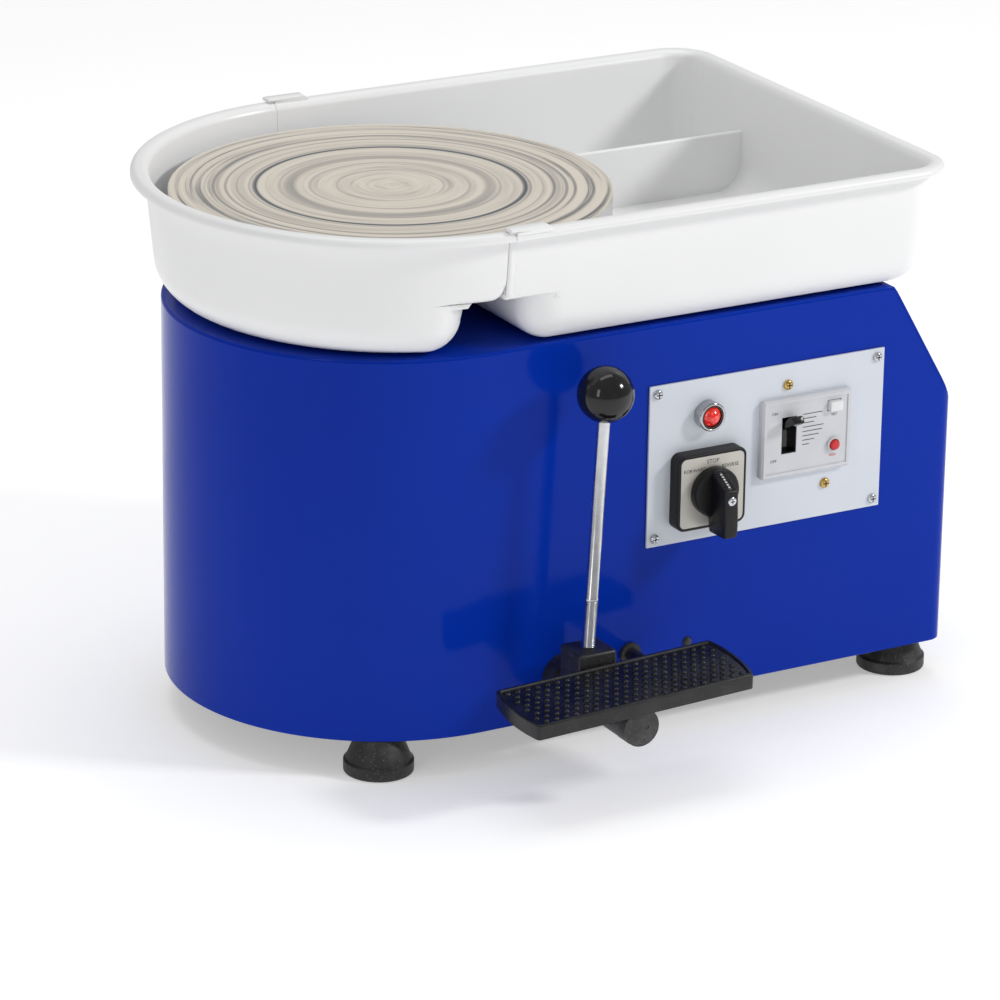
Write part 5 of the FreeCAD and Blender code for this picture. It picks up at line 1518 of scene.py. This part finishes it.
@dataclass
class ControlPanel:
    """Pale plate with a pilot lamp, a cam switch and a residual-current breaker."""

    face_y: float = -124.0
    plate_x: Pair = (97.5, 253.5)
    plate_z: Pair = (-131.5, -35.5)
    plate_t: float = 1.5
    screw_inset: float = 5.0
    lamp: Pair = (135.0, -57.0)
    lamp_r: float = 8.5
    lamp_h: float = 7.0
    switch: Pair = (134.5, -99.5)
    switch_side: float = 45.0
    switch_t: float = 9.0
    switch_face: float = 41.5
    knob_gap: float = 0.4
    breaker_x: Pair = (170.0, 230.0)
    breaker_z: Pair = (-102.0, -55.0)
    breaker_t: float = 4.5
    slot_x: Pair = (183.0, 193.0)
    slot_z: Pair = (-88.0, -66.0)
    rocker_y: float = -118.0
    rocker_lean: float = math.radians(30)
    test: Pair = (218.0, -63.5)
    reset: Pair = (218.0, -87.0)

    @property
    def plate_y(self) -> float:
        """Front of the plate."""
        return self.face_y - self.plate_t

    def build(self) -> None:
        """Make the plate and everything on it."""
        self.plate()
        self.screws()
        self.pilot_lamp()
        self.switch_base()
        self.knob()
        self.breaker()
        self.print_words()

    def pierced(self, name: str, xs: list[float], zs: list[float],
                holes: list[tuple[float, float, float, float]], front: float, thickness: float,
                bevel: float, paint: str, nodes: tuple[str, ...]) -> Piece:
        """Flat plate with rectangular windows: cells of a grid, less those in a window.

        Args:
            name: Name of the piece.
            xs: Grid lines across, the first and last being the plate's sides.
            zs: Grid lines up.
            holes: Windows as (x low, x high, z low, z high).
            front: Y of the front face.
            thickness: Thickness behind it.
            bevel: Width of the rounded edges.
            paint: Finish.
            nodes: CAD nodes that it replaces.

        Returns:
            The piece.
        """
        across, up = np.array(sorted(set(xs))), np.array(sorted(set(zs)))
        x, z = np.meshgrid(across, up)
        grid = np.stack([x, np.full(x.shape, front), z], -1)
        mid_x = (across[1:] + across[:-1]) / 2
        mid_z = (up[1:] + up[:-1]) / 2
        keep = np.ones((len(mid_z), len(mid_x)), bool)
        for x0, x1, z0, z1 in holes:
            inside = ((mid_x > x0) & (mid_x < x1))[None, :] & ((mid_z > z0) & (mid_z < z1))[:, None]
            keep &= ~inside
        piece = Skin(name).add(grid, keep=keep).build(Body.HOUSING, [PAINTS[paint]], nodes, paint,
                                                      outward=False)
        normal = np.empty(len(piece.data.polygons) * 3)
        piece.data.polygons.foreach_get("normal", normal)
        if normal.reshape(-1, 3)[:, 1].sum() > 0:
            piece.data.flip_normals()
        give_wall(piece, thickness)
        finish_edges(piece, bevel, 3)
        return piece

    def plate(self) -> None:
        """The plate, with windows behind the lamp, the switch and the breaker."""
        holes = [(x - half, x + half, z - half, z + half)
                 for (x, z), half in ((self.switch, 14.0), (self.lamp, 5.6))]
        holes.insert(1, (self.breaker_x[0] + 5, self.breaker_x[1] - 5,
                         self.breaker_z[0] + 3, self.breaker_z[1] - 3))
        xs = [*self.plate_x] + [value for hole in holes for value in hole[:2]]
        zs = [*self.plate_z] + [value for hole in holes for value in hole[2:]]
        self.pierced("panel_plate", xs, zs, holes, self.plate_y, self.plate_t, 0.4, "panel_paint",
                     ("control_plate",))

    def cross_head(self, skin: Skin, x: float, z: float, radius: float, height: float) -> None:
        """Add a domed screw head with a cross let into it.

        The head is turned; the cross is two near-black bars whose tops sit just over the head, painted shade
        standing in for the sunken cross.
        """
        axes = facing_controls(x, z, self.plate_y)
        shank = np.array([(0, -4.0), (radius * 0.5, -4.0)])
        cap = np.array([(0.5, 0.0), (1, 0.0), (1, 0.35), (0.93, 0.62), (0.75, 0.86), (0.45, 1), (0.2, 1),
                        (0, 1)])
        dome = np.concatenate([shank, cap * [radius, height]])
        skin.lathe(axes, dome, 40, 0)
        # The bars take the second, near-black finish: painted shade in the cross's recess.
        for width, length in ((radius * 0.26, radius * 1.25), (radius * 1.25, radius * 0.26)):
            bar = rounded_rectangle(width, length, radius * 0.08, 2)
            skin.slab(axes, bar, np.array([(0.0, height * 0.5), (0.0, height + 0.03)]), 1)

    def screws(self) -> None:
        """Four steel screws in the plate's corners and two brass ones by the breaker."""
        inset = self.screw_inset
        corners = Skin("panel_screws")
        for x in (self.plate_x[0] + inset, self.plate_x[1] - inset):
            for z in (self.plate_z[0] + inset, self.plate_z[1] - inset):
                self.cross_head(corners, x, z, 2.85, 1.9)
        # Near-black finish for the crosses: painted shade in their recesses.
        ink = PAINTS["ink_and_recess_shade"]
        corners.build(Body.HOUSING, [PAINTS["zinc_steel"], ink], ("plate_screws",), "zinc_steel")
        strap = Skin("breaker_strap_screws")
        for x, z in ((188.5, -48.0), (215.5, -111.5)):
            self.cross_head(strap, x, z, 3.0, 2.0)
        strap.build(Body.HOUSING, [PAINTS["brass"], ink], ("breaker_screws",), "brass")

    def pilot_lamp(self) -> None:
        """Chrome ring with a black inner ring, and a domed red lens."""
        axes = facing_controls(*self.lamp, self.plate_y)
        top = self.lamp_h
        ring = rounded_profile([(0, -20), (5.5, -20), (5.5, -0.2), (self.lamp_r, -0.2), (self.lamp_r, top),
                                (6.9, top), (6.7, 4.0), (0, 4.0)], {4: 1.1, 5: 0.3}, 5)
        Skin("lamp_ring").lathe(axes, ring, 96).cover(Body.HOUSING, "chrome", "lamp_bezel")
        seal = rounded_profile([(5.8, 3.8), (6.95, 3.8), (6.95, top - 0.5), (5.9, top - 0.5)], {2: 0.2}, 3)
        Skin("lamp_seal").lathe(axes, seal, 96, closed=True).build(Body.HOUSING, [PAINTS["black_gloss"]])
        turn = np.linspace(math.pi / 2, math.radians(28), 9)
        sphere = 7.6
        dome = np.stack([sphere * np.cos(turn[::-1]), sphere * np.sin(turn[::-1])], -1)
        dome[:, 0] *= 6.0 / dome[0, 0]
        dome[:, 1] += self.lamp_h - 0.4 - dome[0, 1] - 1.6
        dome = dome[np.argsort(dome[:, 1])]
        lens = np.concatenate([[(0, 3.9), (6.0, 3.9)], dome])
        Skin("lamp_lens_domed").lathe(axes, lens, 72).cover(Body.HOUSING, "red_lens", "lamp_lens")

    def switch_base(self) -> None:
        """Black base with a round bore, and the cream face let into it."""
        axes = facing_controls(*self.switch, self.plate_y)
        front = self.switch_t
        bore = 4.3
        outline = rounded_rectangle(self.switch_side, self.switch_side, 5.0, 8)
        levels = np.concatenate([soft_top(0.0, front, 1.0), [(1.7, front), (1.78, front - 0.55)]])
        self._bored(Skin("cam_switch_base"), axes, outline, levels, bore).cover(
            Body.HOUSING, "black_plastic", "switch_base")
        face = rounded_rectangle(self.switch_face - 0.2, self.switch_face - 0.2, 3.3, 8)
        plate = np.array([(0.0, front - 0.5), (0.0, front - 0.08), (0.1, front)])
        self._bored(Skin("cam_switch_face"), axes, face, plate, 5.0).cover(
            Body.HOUSING, "cream_face", "switch_face")

    @staticmethod
    def _bored(skin: Skin, axes: Axes, outline: Outline, levels: Points, radius: float) -> Skin:
        """Slab with a round bore: rows from the bore's foot, out, up and back to it."""
        angle = np.arctan2(outline.points[:, 1], outline.points[:, 0])
        bore = radius * np.stack([np.cos(angle), np.sin(angle)], -1)
        rows = [np.concatenate([bore, np.full((len(bore), 1), levels[0][1])], axis=1)]
        for inset, height in levels:
            flat = outline.inset(inset)
            rows.append(np.concatenate([flat, np.full((len(flat), 1), height)], axis=1))
        rows.append(np.concatenate([bore, np.full((len(bore), 1), levels[-1][1])], axis=1))
        rows.append(rows[0])
        return skin.add(axes.carry(np.stack(rows)), around=True)

    def knob(self) -> None:
        """Pointer knob: round skirt, tall grip with a ribbed slope, white line and screw."""
        back = self.plate_y - self.switch_t - self.knob_gap
        axes = facing_controls(*self.switch, back)
        skirt = rounded_profile([(0, 0), (14.5, 0), (14.5, 6.0), (0, 6.0)], {1: 0.4, 2: 1.6}, 5)
        skin = Skin("direction_knob_body").lathe(axes, skirt, 96)
        side = rounded_profile([(0.2, 0.0), (0.2, 13.0), (5.6, 13.6), (20.4, 5.6), (21.3, -12.0),
                                (20.9, -22.4), (4.0, -22.9), (2.2, -14.5), (0.2, -13.0), (0.2, 0.0)],
                               {2: 1.2, 3: 1.8, 5: 1.6, 6: 1.2, 7: 1.0}, 4)[:-1]
        x, z = self.switch
        grip = Axes((x, back, z), (0.0, -1.0, 0.0), (0.0, 0.0, 1.0), (-1.0, 0.0, 0.0))
        skin.slab(grip, traced(side), soft_block(-4.5, 4.5, 1.3))
        self._ridges(skin)
        skin.cover(Body.KNOB, "black_plastic", "switch_knob")
        slope = self._slope_axes(0.16)
        line = rounded_rectangle(1.3, 13.0, 0.4, 3)
        Skin("knob_pointer_line").slab(slope, line, np.array([(0.0, -0.3), (0.0, 0.05), (0.1, 0.1)])).build(
            Body.KNOB, [PAINTS["print_white"]])
        well = facing_controls(x, z, back - 20.6)
        head = np.array([(0, 0.0), (2.6, 0.0), (2.6, 0.55), (2.2, 0.9), (1.2, 1.05), (0, 1.05)])
        screw = Skin("knob_screw_head").lathe(well, head, 32)
        # The cross is two near-black bars: painted shade in its recess.
        for width, length in ((0.6, 3.0), (3.0, 0.6)):
            bar = rounded_rectangle(width, length, 0.1, 2)
            screw.slab(well, bar, np.array([(0.0, 0.5), (0.0, 1.09)]), 1)
        screw.build(Body.KNOB, [PAINTS["zinc_steel"], PAINTS["ink_and_recess_shade"]], ("knob_screw",), "zinc_steel")
        dress_node("switch_spindle", "ground_steel")
        dress_node("switch_block", "black_plastic")

    def _slope_axes(self, lift: float) -> Axes:
        """Frame on the grip's slope: up runs to the pointer, out stands off the slope."""
        back = self.plate_y - self.switch_t - self.knob_gap
        low, high = np.array([20.4, 5.6]), np.array([5.6, 13.6])
        run = (high - low) / np.linalg.norm(high - low)
        away = np.array([-run[1], run[0]])
        away = away if away[0] > 0 else -away
        spot = (low + high) / 2 + away * lift
        return Axes((self.switch[0], back - spot[0], self.switch[1] + spot[1]), (1.0, 0.0, 0.0),
                    (0.0, -run[0], run[1]), (0.0, -away[0], away[1]))

    def _ridges(self, skin: Skin) -> None:
        """Ribs across the slope on both sides of the line."""
        for step in np.linspace(-6.0, 6.0, 7):
            slope = self._slope_axes(0.0)
            spot = slope.carry(np.array([0.0, step, 0.0]))
            axes = Axes(tuple(spot), slope.right, slope.up, slope.out)
            skin.slab(axes, rounded_rectangle(7.4, 0.9, 0.3, 2), soft_top(-0.8, 0.35, 0.25, 2))

    def breaker(self) -> None:
        """White bezel, rocker, test key and reset button, with the case behind."""
        for name, paint in (("breaker_bezel", "bezel_plastic"), ("breaker_body", "black_plastic")):
            dress_node(name, paint)
        middle = (self.slot_z[0] + self.slot_z[1]) / 2
        centre = (self.slot_x[0] + self.slot_x[1]) / 2
        # Dark frame and wall in the slot: painted shade for its depth.
        self.painted_slot_shade(centre, middle)
        pivot = (centre, self.rocker_y, middle)
        cos, sin = math.cos(self.rocker_lean), math.sin(self.rocker_lean)
        axes = Axes(pivot, (1.0, 0.0, 0.0), (0.0, sin, cos), (0.0, -cos, sin))
        arm = rounded_rectangle(7.6, 4.6, 0.9, 4)
        lever = Skin("breaker_rocker").slab(axes, arm, soft_block(0.0, 24.0, 0.8))
        barrel = Axes(pivot, (0.0, 1.0, 0.0), (0.0, 0.0, 1.0), (1.0, 0.0, 0.0))
        drum = rounded_profile([(0, -3.8), (4.6, -3.8), (4.6, 3.8), (0, 3.8)], {1: 0.4, 2: 0.4}, 3)
        lever.lathe(barrel, drum, 48)
        lever.build(Body.TOGGLE, [PAINTS["black_gloss"]], ("breaker_toggle",), "black_plastic")
        key = facing_controls(*self.test, self.plate_y)
        block = rounded_rectangle(8.4, 5.9, 0.8, 4)
        Skin("test_key_cap").slab(key, block, soft_top(-6.0, self.breaker_t + 2.6, 0.6)).cover(
            Body.TEST, "white_plastic", "test_button")
        button = facing_controls(*self.reset, self.plate_y)
        front = self.breaker_t + 2.4
        cap = rounded_profile([(0, -6.0), (3.0, -6.0), (3.0, front), (0, front + 0.3)], {2: 0.9}, 5)
        Skin("reset_button_cap").lathe(button, cap, 48).cover(
            Body.RESET, "red_plastic", "reset_button")

    def painted_slot_shade(self, centre: float, middle: float) -> None:
        """Painted shade in the slot: a thin dark frame along its sides and a dark wall just ahead of the
        housing, standing in for the slot's shaded depth.
        """
        wide, tall = self.slot_x[1] - self.slot_x[0], self.slot_z[1] - self.slot_z[0]
        skin = Skin("breaker_painted_slot_shade")
        front, back = self.plate_y - self.breaker_t + 0.9, -124.3
        depth = back - front
        axes = facing_controls(centre, middle, back)
        outer = rounded_rectangle(wide - 0.1, tall - 0.1, 0.5, 3)
        inset = 0.45
        skin.slab(axes, outer, np.array([(0.0, -0.5), (0.0, depth), (inset, depth), (inset, 0.2)]))
        skin.build(Body.HOUSING, [PAINTS["black_gloss"]])

    def print_words(self) -> None:
        """Plain words on the switch face and the breaker, with rule lines beside them."""
        face = self.plate_y - self.switch_t - 0.02
        for word, across, up, height in (("STOP", 0.0, 17.4, 2.4), ("FORWARD", -11.6, 13.3, 2.1),
                                         ("REVERSE", 11.4, 13.3, 2.1)):
            axes = facing_controls(self.switch[0] + across, self.switch[1] + up, face)
            printed(f"word_{word.lower()}", word, height, axes, Body.HOUSING, "ink_and_recess_shade")
        seat = self.plate_y - self.breaker_t + 0.6 - 0.02
        for word, across, up, height in (("ON", 178.0, -63.0, 1.7), ("OFF", 178.0, -91.5, 1.7),
                                         ("TEST", 218.0, -69.2, 1.3), ("RESET", 218.0, -93.6, 1.3)):
            paint = "print_red" if word == "RESET" else "ink_and_recess_shade"
            axes = facing_controls(across, up, seat)
            printed(f"word_{word.lower()}", word, height, axes, Body.HOUSING, paint)
        rules = Skin("breaker_rule_lines")
        for k, length in enumerate((13.0, 9.0, 7.5, 14.0, 13.0, 11.0, 8.0, 4.5)):
            axes = facing_controls(197.0 + length / 2, -66.0 - 2.6 * k, seat)
            rules.slab(axes, rounded_rectangle(length, 0.45, 0.1, 1), np.array([(0.0, 0.0), (0.0, 0.04)]))
        rules.build(Body.HOUSING, [PAINTS["ink_and_recess_shade"]])


# Lever and pedal -------------------------------------------------------------

@dataclass
class LeverAndPedal:
    """Hand lever and foot pedal that turn on one shaft through the front wall."""

    face_y: float = -124.0
    pivot: Pair = (46.0, -199.4)
    block_width: float = 24.0
    block_y: Pair = (-164.0, -141.0)
    block_z: Pair = (-211.0, -171.5)
    rod_y: float = -151.5
    rod_r: float = 3.6
    thread_r: float = 4.0
    thread_length: float = 28.0
    thread_depth: float = 0.75
    pitch: float = 1.25
    lean: float = math.radians(3.0)
    ball_r: float = 16.0
    ball_z: float = -24.5
    pad_x: float = 47.2
    pad_length: float = 144.0
    pad_depth: float = 48.0
    pad_tilt: float = math.radians(2.05)
    pad_pitch: float = math.radians(4.45)
    pad_back: float = -165.5
    pad_top: float = -177.9
    pad_t: float = 9.0
    pad_bow: float = 3.5
    border: float = 2.4
    recess: float = 1.2
    rows: int = 8
    columns: int = 21
    bump_r: float = 1.9

    def build(self) -> None:
        """Make the block, the lever, the ball, the pad and the bracket."""
        self.block()
        self.lever()
        self.ball()
        self.pad()
        self.bracket()
        for name, paint in (("pivot_shaft", "ground_steel"), ("friction_washer", "zinc_steel"),
                            # The pivot bush's black flange stands where the real machine shows only a soft
                            # shadow: a dark part as painted shade.
                            ("pivot_bush", "black_paint"), ("shaft_coupling", "ground_steel"),
                            ("stop_bumper", "black_paint"), ("stop_grommet", "foot_rubber"),
                            ("block_screws", "zinc_steel"), ("pot_bracket", "zinc_steel"),
                            ("potentiometer", "black_plastic")):
            dress_node(name, paint)

    @property
    def pad_width(self) -> float:
        """Width of the pad along its own face."""
        return self.pad_depth / math.cos(self.pad_pitch)

    def pad_axes(self, back: float = 0.0) -> Axes:
        """Frame on the pad's top: the front edge leans down and the right end up.

        Args:
            back: Distance from the back edge towards the front.

        Returns:
            Frame with right along the pad, up towards the back and out off its face.
        """
        pitch, tilt = self.pad_pitch, self.pad_tilt
        right = (math.cos(tilt), 0.0, math.sin(tilt))
        out = (-math.sin(tilt) * math.cos(pitch), -math.sin(pitch), math.cos(tilt) * math.cos(pitch))
        up = tuple(np.cross(out, right))
        origin = np.array([self.pad_x, self.pad_back, self.pad_top]) - back * np.array(up)
        return Axes(tuple(origin), right, up, out)

    def lever_axes(self) -> Axes:
        """Frame on the lever's line: out runs up the rod from the block's top."""
        sin, cos = math.sin(self.lean), math.cos(self.lean)
        return Axes((self.pivot[0] - 0.6, self.rod_y, self.block_z[1]), (cos, 0.0, -sin), (0.0, 1.0, 0.0),
                    (sin, 0.0, cos))

    def block(self) -> None:
        """Clamp block with round edges."""
        low, high = self.block_z
        mid_y = (self.block_y[0] + self.block_y[1]) / 2
        depth = self.block_y[1] - self.block_y[0]
        axes = Axes((self.pivot[0] - 1.0, mid_y, 0.0))
        outline = rounded_rectangle(self.block_width, depth, 2.2, 5)
        Skin("lever_block_cast").slab(axes, outline, soft_block(low, high, 1.6, 4)).cover(
            Body.PEDAL, "black_paint", "lever_block")

    def lever(self) -> None:
        """Bright rod: a helical thread at its foot, a short step, and a plain shank.

        The radius of the threaded part is r - depth * ridge(h / pitch - a / turn),
        where ridge is the distance from the nearest crest, so the crests climb.
        """
        axes = self.lever_axes()
        reach = (self.ball_z - self.block_z[1]) / math.cos(self.lean)
        turns = np.linspace(0, 2 * math.pi, 33)[:-1]
        height = np.linspace(-5.0, self.thread_length, 212)
        phase = height[:, None] / self.pitch - turns / (2 * math.pi)
        ridge = np.abs((phase % 1.0) - 0.5) * 2
        fade = smooth_step((self.thread_length - height) / 1.2)[:, None]
        radius = self.thread_r - self.thread_depth * ridge * fade
        end = self.thread_length
        upper = np.array([(self.thread_r, end + 0.4), (self.rod_r, end + 1.0), (self.rod_r, reach - 4.0),
                          (0, reach - 4.0)])
        above = np.repeat(upper[:, :1], len(turns), axis=1)
        radius = np.concatenate([np.zeros((1, len(turns))), radius, above])
        height = np.concatenate([[-5.0], height, upper[:, 1]])
        grid = turned(radius, turns, height[:, None])
        Skin("lever_rod_threaded").add(axes.carry(grid), around=True).cover(
            Body.PEDAL, "zinc_steel", "lever_rod", sharp=50)

    def ball(self) -> None:
        """Ball with a small flat and a collar where the rod goes in."""
        reach = (self.ball_z - self.block_z[1]) / math.cos(self.lean)
        flat = -self.ball_r + 1.2
        first = math.asin(flat / self.ball_r)
        turn = np.linspace(first, math.pi / 2, 72)
        sphere = np.stack([self.ball_r * np.cos(turn), reach + self.ball_r * np.sin(turn)], -1)
        foot = np.array([(self.rod_r + 0.1, reach + flat + 2.0), (self.rod_r + 0.1, reach + flat),
                         (sphere[0, 0] - 0.4, reach + flat)])
        inner = np.array([(0.0, reach + flat + 2.0)])
        profile = np.concatenate([inner, foot, sphere])
        Skin("lever_ball").lathe(self.lever_axes(), profile, 128).cover(
            Body.PEDAL, "black_gloss", "ball_knob")

    def pad_outline(self, corner: float) -> Outline:
        """Pad in plan: straight long sides, ends bowed on an arc, round corners."""
        half_l, half_w = self.pad_length / 2, self.pad_width / 2
        straight = half_l - self.pad_bow
        bow_r = (half_w ** 2 + self.pad_bow ** 2) / (2 * self.pad_bow)
        span = math.asin(half_w / bow_r)
        turn = np.linspace(-span, span, 15)[1:-1]
        end = np.stack([half_l - bow_r + bow_r * np.cos(turn), bow_r * np.sin(turn)], -1)
        right = [(0.0, -half_w), (straight, -half_w), *map(tuple, end), (straight, half_w), (0.0, half_w)]
        line = rounded_profile(right, {1: corner, len(right) - 2: corner}, 5)[1:-1]
        return traced(np.concatenate([line, -line]))

    def pad(self) -> None:
        """Moulded pad: round-edged cap with a raised border and rows of low domes."""
        turn = np.linspace(0, math.pi / 2, 5)
        levels = [(0.0, -self.pad_t)] + [(1.1 * (1 - math.cos(a)), 1.1 * (math.sin(a) - 1)) for a in turn]
        levels += [(self.border - 0.5, 0.0), (self.border - 0.1, -0.35), (self.border + 0.3, -self.recess)]
        axes = self.pad_axes(self.pad_width / 2)
        skin = Skin("pedal_pad_moulded").slab(axes, self.pad_outline(2.2), np.array(levels))
        step_x = (self.pad_length - 2 * self.border - 14) / (self.columns - 1)
        step_y = (self.pad_width - 2 * self.border - 6) / (self.rows - 1)
        rise = 1.15
        climb = np.linspace(0, 1, 5)[:, None] * math.pi / 2
        angle = np.linspace(0, 2 * math.pi, 13)[:-1]
        dome = turned(self.bump_r * np.cos(climb), angle, rise * np.sin(climb))
        foot = dome[:1] - [0.0, 0.0, 0.3]
        dome = np.concatenate([foot, dome])
        for row in range(self.rows):
            shift = step_x / 4 if row % 2 else -step_x / 4
            y = self.pad_width / 2 - self.border - 3 - row * step_y
            for column in range(self.columns):
                x = (column - (self.columns - 1) / 2) * step_x + shift
                skin.add(axes.carry(dome + [x, y, -self.recess]), around=True)
        skin.cover(Body.PEDAL, "pad_rubber", "pedal_pad")

    def bracket(self) -> None:
        """Dress the cast bracket and add the boss at its hub."""
        x, z = self.pivot
        dress_node("pedal_bracket", "dark_cast")
        hub = rounded_profile([(0, 0.0), (11.2, 0.0), (11.2, 12.0), (0, 12.0)], {1: 2.2, 2: 0.4}, 6)
        boss = Axes((x, -209.6, z), (1.0, 0.0, 0.0), (0.0, 0.0, 1.0), (0.0, 1.0, 0.0))
        Skin("pedal_hub_boss").lathe(boss, hub, 96).build(Body.PEDAL, [PAINTS["dark_cast"]])


# Inner parts -----------------------------------------------------------------

@dataclass
class InnerParts:
    """Drive and controller parts inside the housing, which keep their CAD shapes."""

    paints: dict[str, str] = field(default_factory=lambda: {
        "bearing_housing": "cast_iron", "upper_bearing": "ground_steel", "lower_bearing": "ground_steel",
        "drive_belt": "foot_rubber", "motor_pulley": "aluminium", "motor_shaft": "ground_steel",
        "motor_body": "black_paint", "motor_bracket": "black_paint", "motor_screws": "zinc_steel",
        "board_posts": "black_plastic", "controller_board": "board_green", "heat_sink": "aluminium"})

    def build(self) -> None:
        """Give each inner part its finish."""
        for name, paint in self.paints.items():
            dress_node(name, paint)
        LOG.info("inner parts: %d dressed", len(self.paints))


# Studio ----------------------------------------------------------------------

@dataclass
class Studio:
    """Pale floor, soft lights and the camera."""

    eye: Triple = (-1.37005, -2.37236, 1.12504)
    forward: Triple = (0.46302307, 0.81618239, -0.34562398)
    right: Triple = (0.87212568, -0.48909929, 0.01336736)
    lens: float = 182.313
    floor_size: float = 14.0
    floor_glow: float = 0.35

    def build(self) -> None:
        """Make the floor, the lights, the sky and the camera."""
        self.floor()
        self.lights()
        self.camera()

    def floor(self) -> None:
        """Large pale floor as one grid."""
        line = np.linspace(-self.floor_size / 2, self.floor_size / 2, 9)
        x, y = np.meshgrid(line, line)
        mesh = bpy.data.meshes.new("studio_floor")
        index = np.arange(x.size).reshape(x.shape)
        quads = np.stack([index[:-1, :-1], index[:-1, 1:], index[1:, 1:], index[1:, :-1]], -1).reshape(-1, 4)
        points = np.stack([x, y, np.full(x.shape, -0.0002)], -1).reshape(-1, 3)
        mesh.from_pydata(points.tolist(), [], quads.tolist())
        material = Finish("studio_white", (0.9, 0.9, 0.9), (0.88, 0.88, 0.88), (0.6, 0.7), specular=0.2,
                          mottle=(0.6, 0.3), grain=(200.0, 0.01)).make()
        shader = next(node for node in material.node_tree.nodes if node.type == "BSDF_PRINCIPLED")
        shader.inputs["Emission Color"].default_value = (1.0, 1.0, 1.0, 1.0)
        shader.inputs["Emission Strength"].default_value = self.floor_glow
        mesh.materials.append(material)
        new_object("studio_floor", mesh)

    def softbox(self, name: str, spot: Triple, aim: Triple,
                size: Pair, power: float, tint: Colour = (1.0, 1.0, 1.0)) -> None:
        """Rectangular light that faces a point.

        Args:
            name: Name of the light.
            spot: Where it stands, in metres.
            aim: Where it points.
            size: Width and height in metres.
            power: Power in watts.
            tint: Colour of the light.
        """
        data = bpy.data.lights.new(name, "AREA")
        data.shape = "RECTANGLE"
        data.size, data.size_y = size
        data.energy = power
        data.color = tint
        lamp = new_object(name, data)
        lamp.location = spot
        lamp.rotation_mode = "QUATERNION"
        lamp.rotation_quaternion = (Vector(aim) - Vector(spot)).to_track_quat("-Z", "Y")

    def lights(self) -> None:
        """Even sky, a broad top light, a key from the right front and a fill from the left."""
        world = bpy.data.worlds.new("studio_sky")
        world.use_nodes = True
        sky = world.node_tree.nodes["Background"]
        sky.inputs["Color"].default_value = (1.0, 1.0, 1.0, 1.0)
        sky.inputs["Strength"].default_value = 0.42
        bpy.context.scene.world = world
        self.softbox("top_light", (0.0, 0.4, 2.4), (0.0, 0.0, 0.2), (1.8, 1.4), 17.0)
        self.softbox("key_light", (2.0, -1.6, 1.75), (0.1, 0.0, 0.15), (0.45, 0.45), 34.0)
        self.softbox("fill_light", (-2.4, -1.4, 1.2), (-0.1, 0.0, 0.2), (0.5, 1.4), 7.0)

    def camera(self) -> None:
        """Camera from its place, its forward line and its right-hand line."""
        data = bpy.data.cameras.new("camera")
        data.sensor_width = 36.0
        data.lens = self.lens
        data.clip_start, data.clip_end = 0.05, 60.0
        camera = new_object("camera", data)
        forward = Vector(self.forward).normalized()
        right = Vector(self.right).normalized()
        up = right.cross(forward)
        turn = Matrix((right, up, -forward)).transposed()
        camera.rotation_mode = "QUATERNION"
        camera.rotation_quaternion = turn.to_quaternion()
        camera.location = self.eye
        bpy.context.scene.camera = camera
        bpy.context.scene.view_settings.view_transform = "Standard"


def main() -> None:
    """Build the wheel piece by piece, then the studio round it."""
    logging.basicConfig(level=logging.INFO, format="%(message)s")
    for assembly in (Studio(), Housing(), SplashPan(), WheelHead(), ControlPanel(), LeverAndPedal(),
                     InnerParts()):
        LOG.info("building %s", type(assembly).__name__)
        assembly.build()


if __name__ == "__main__":
    main()
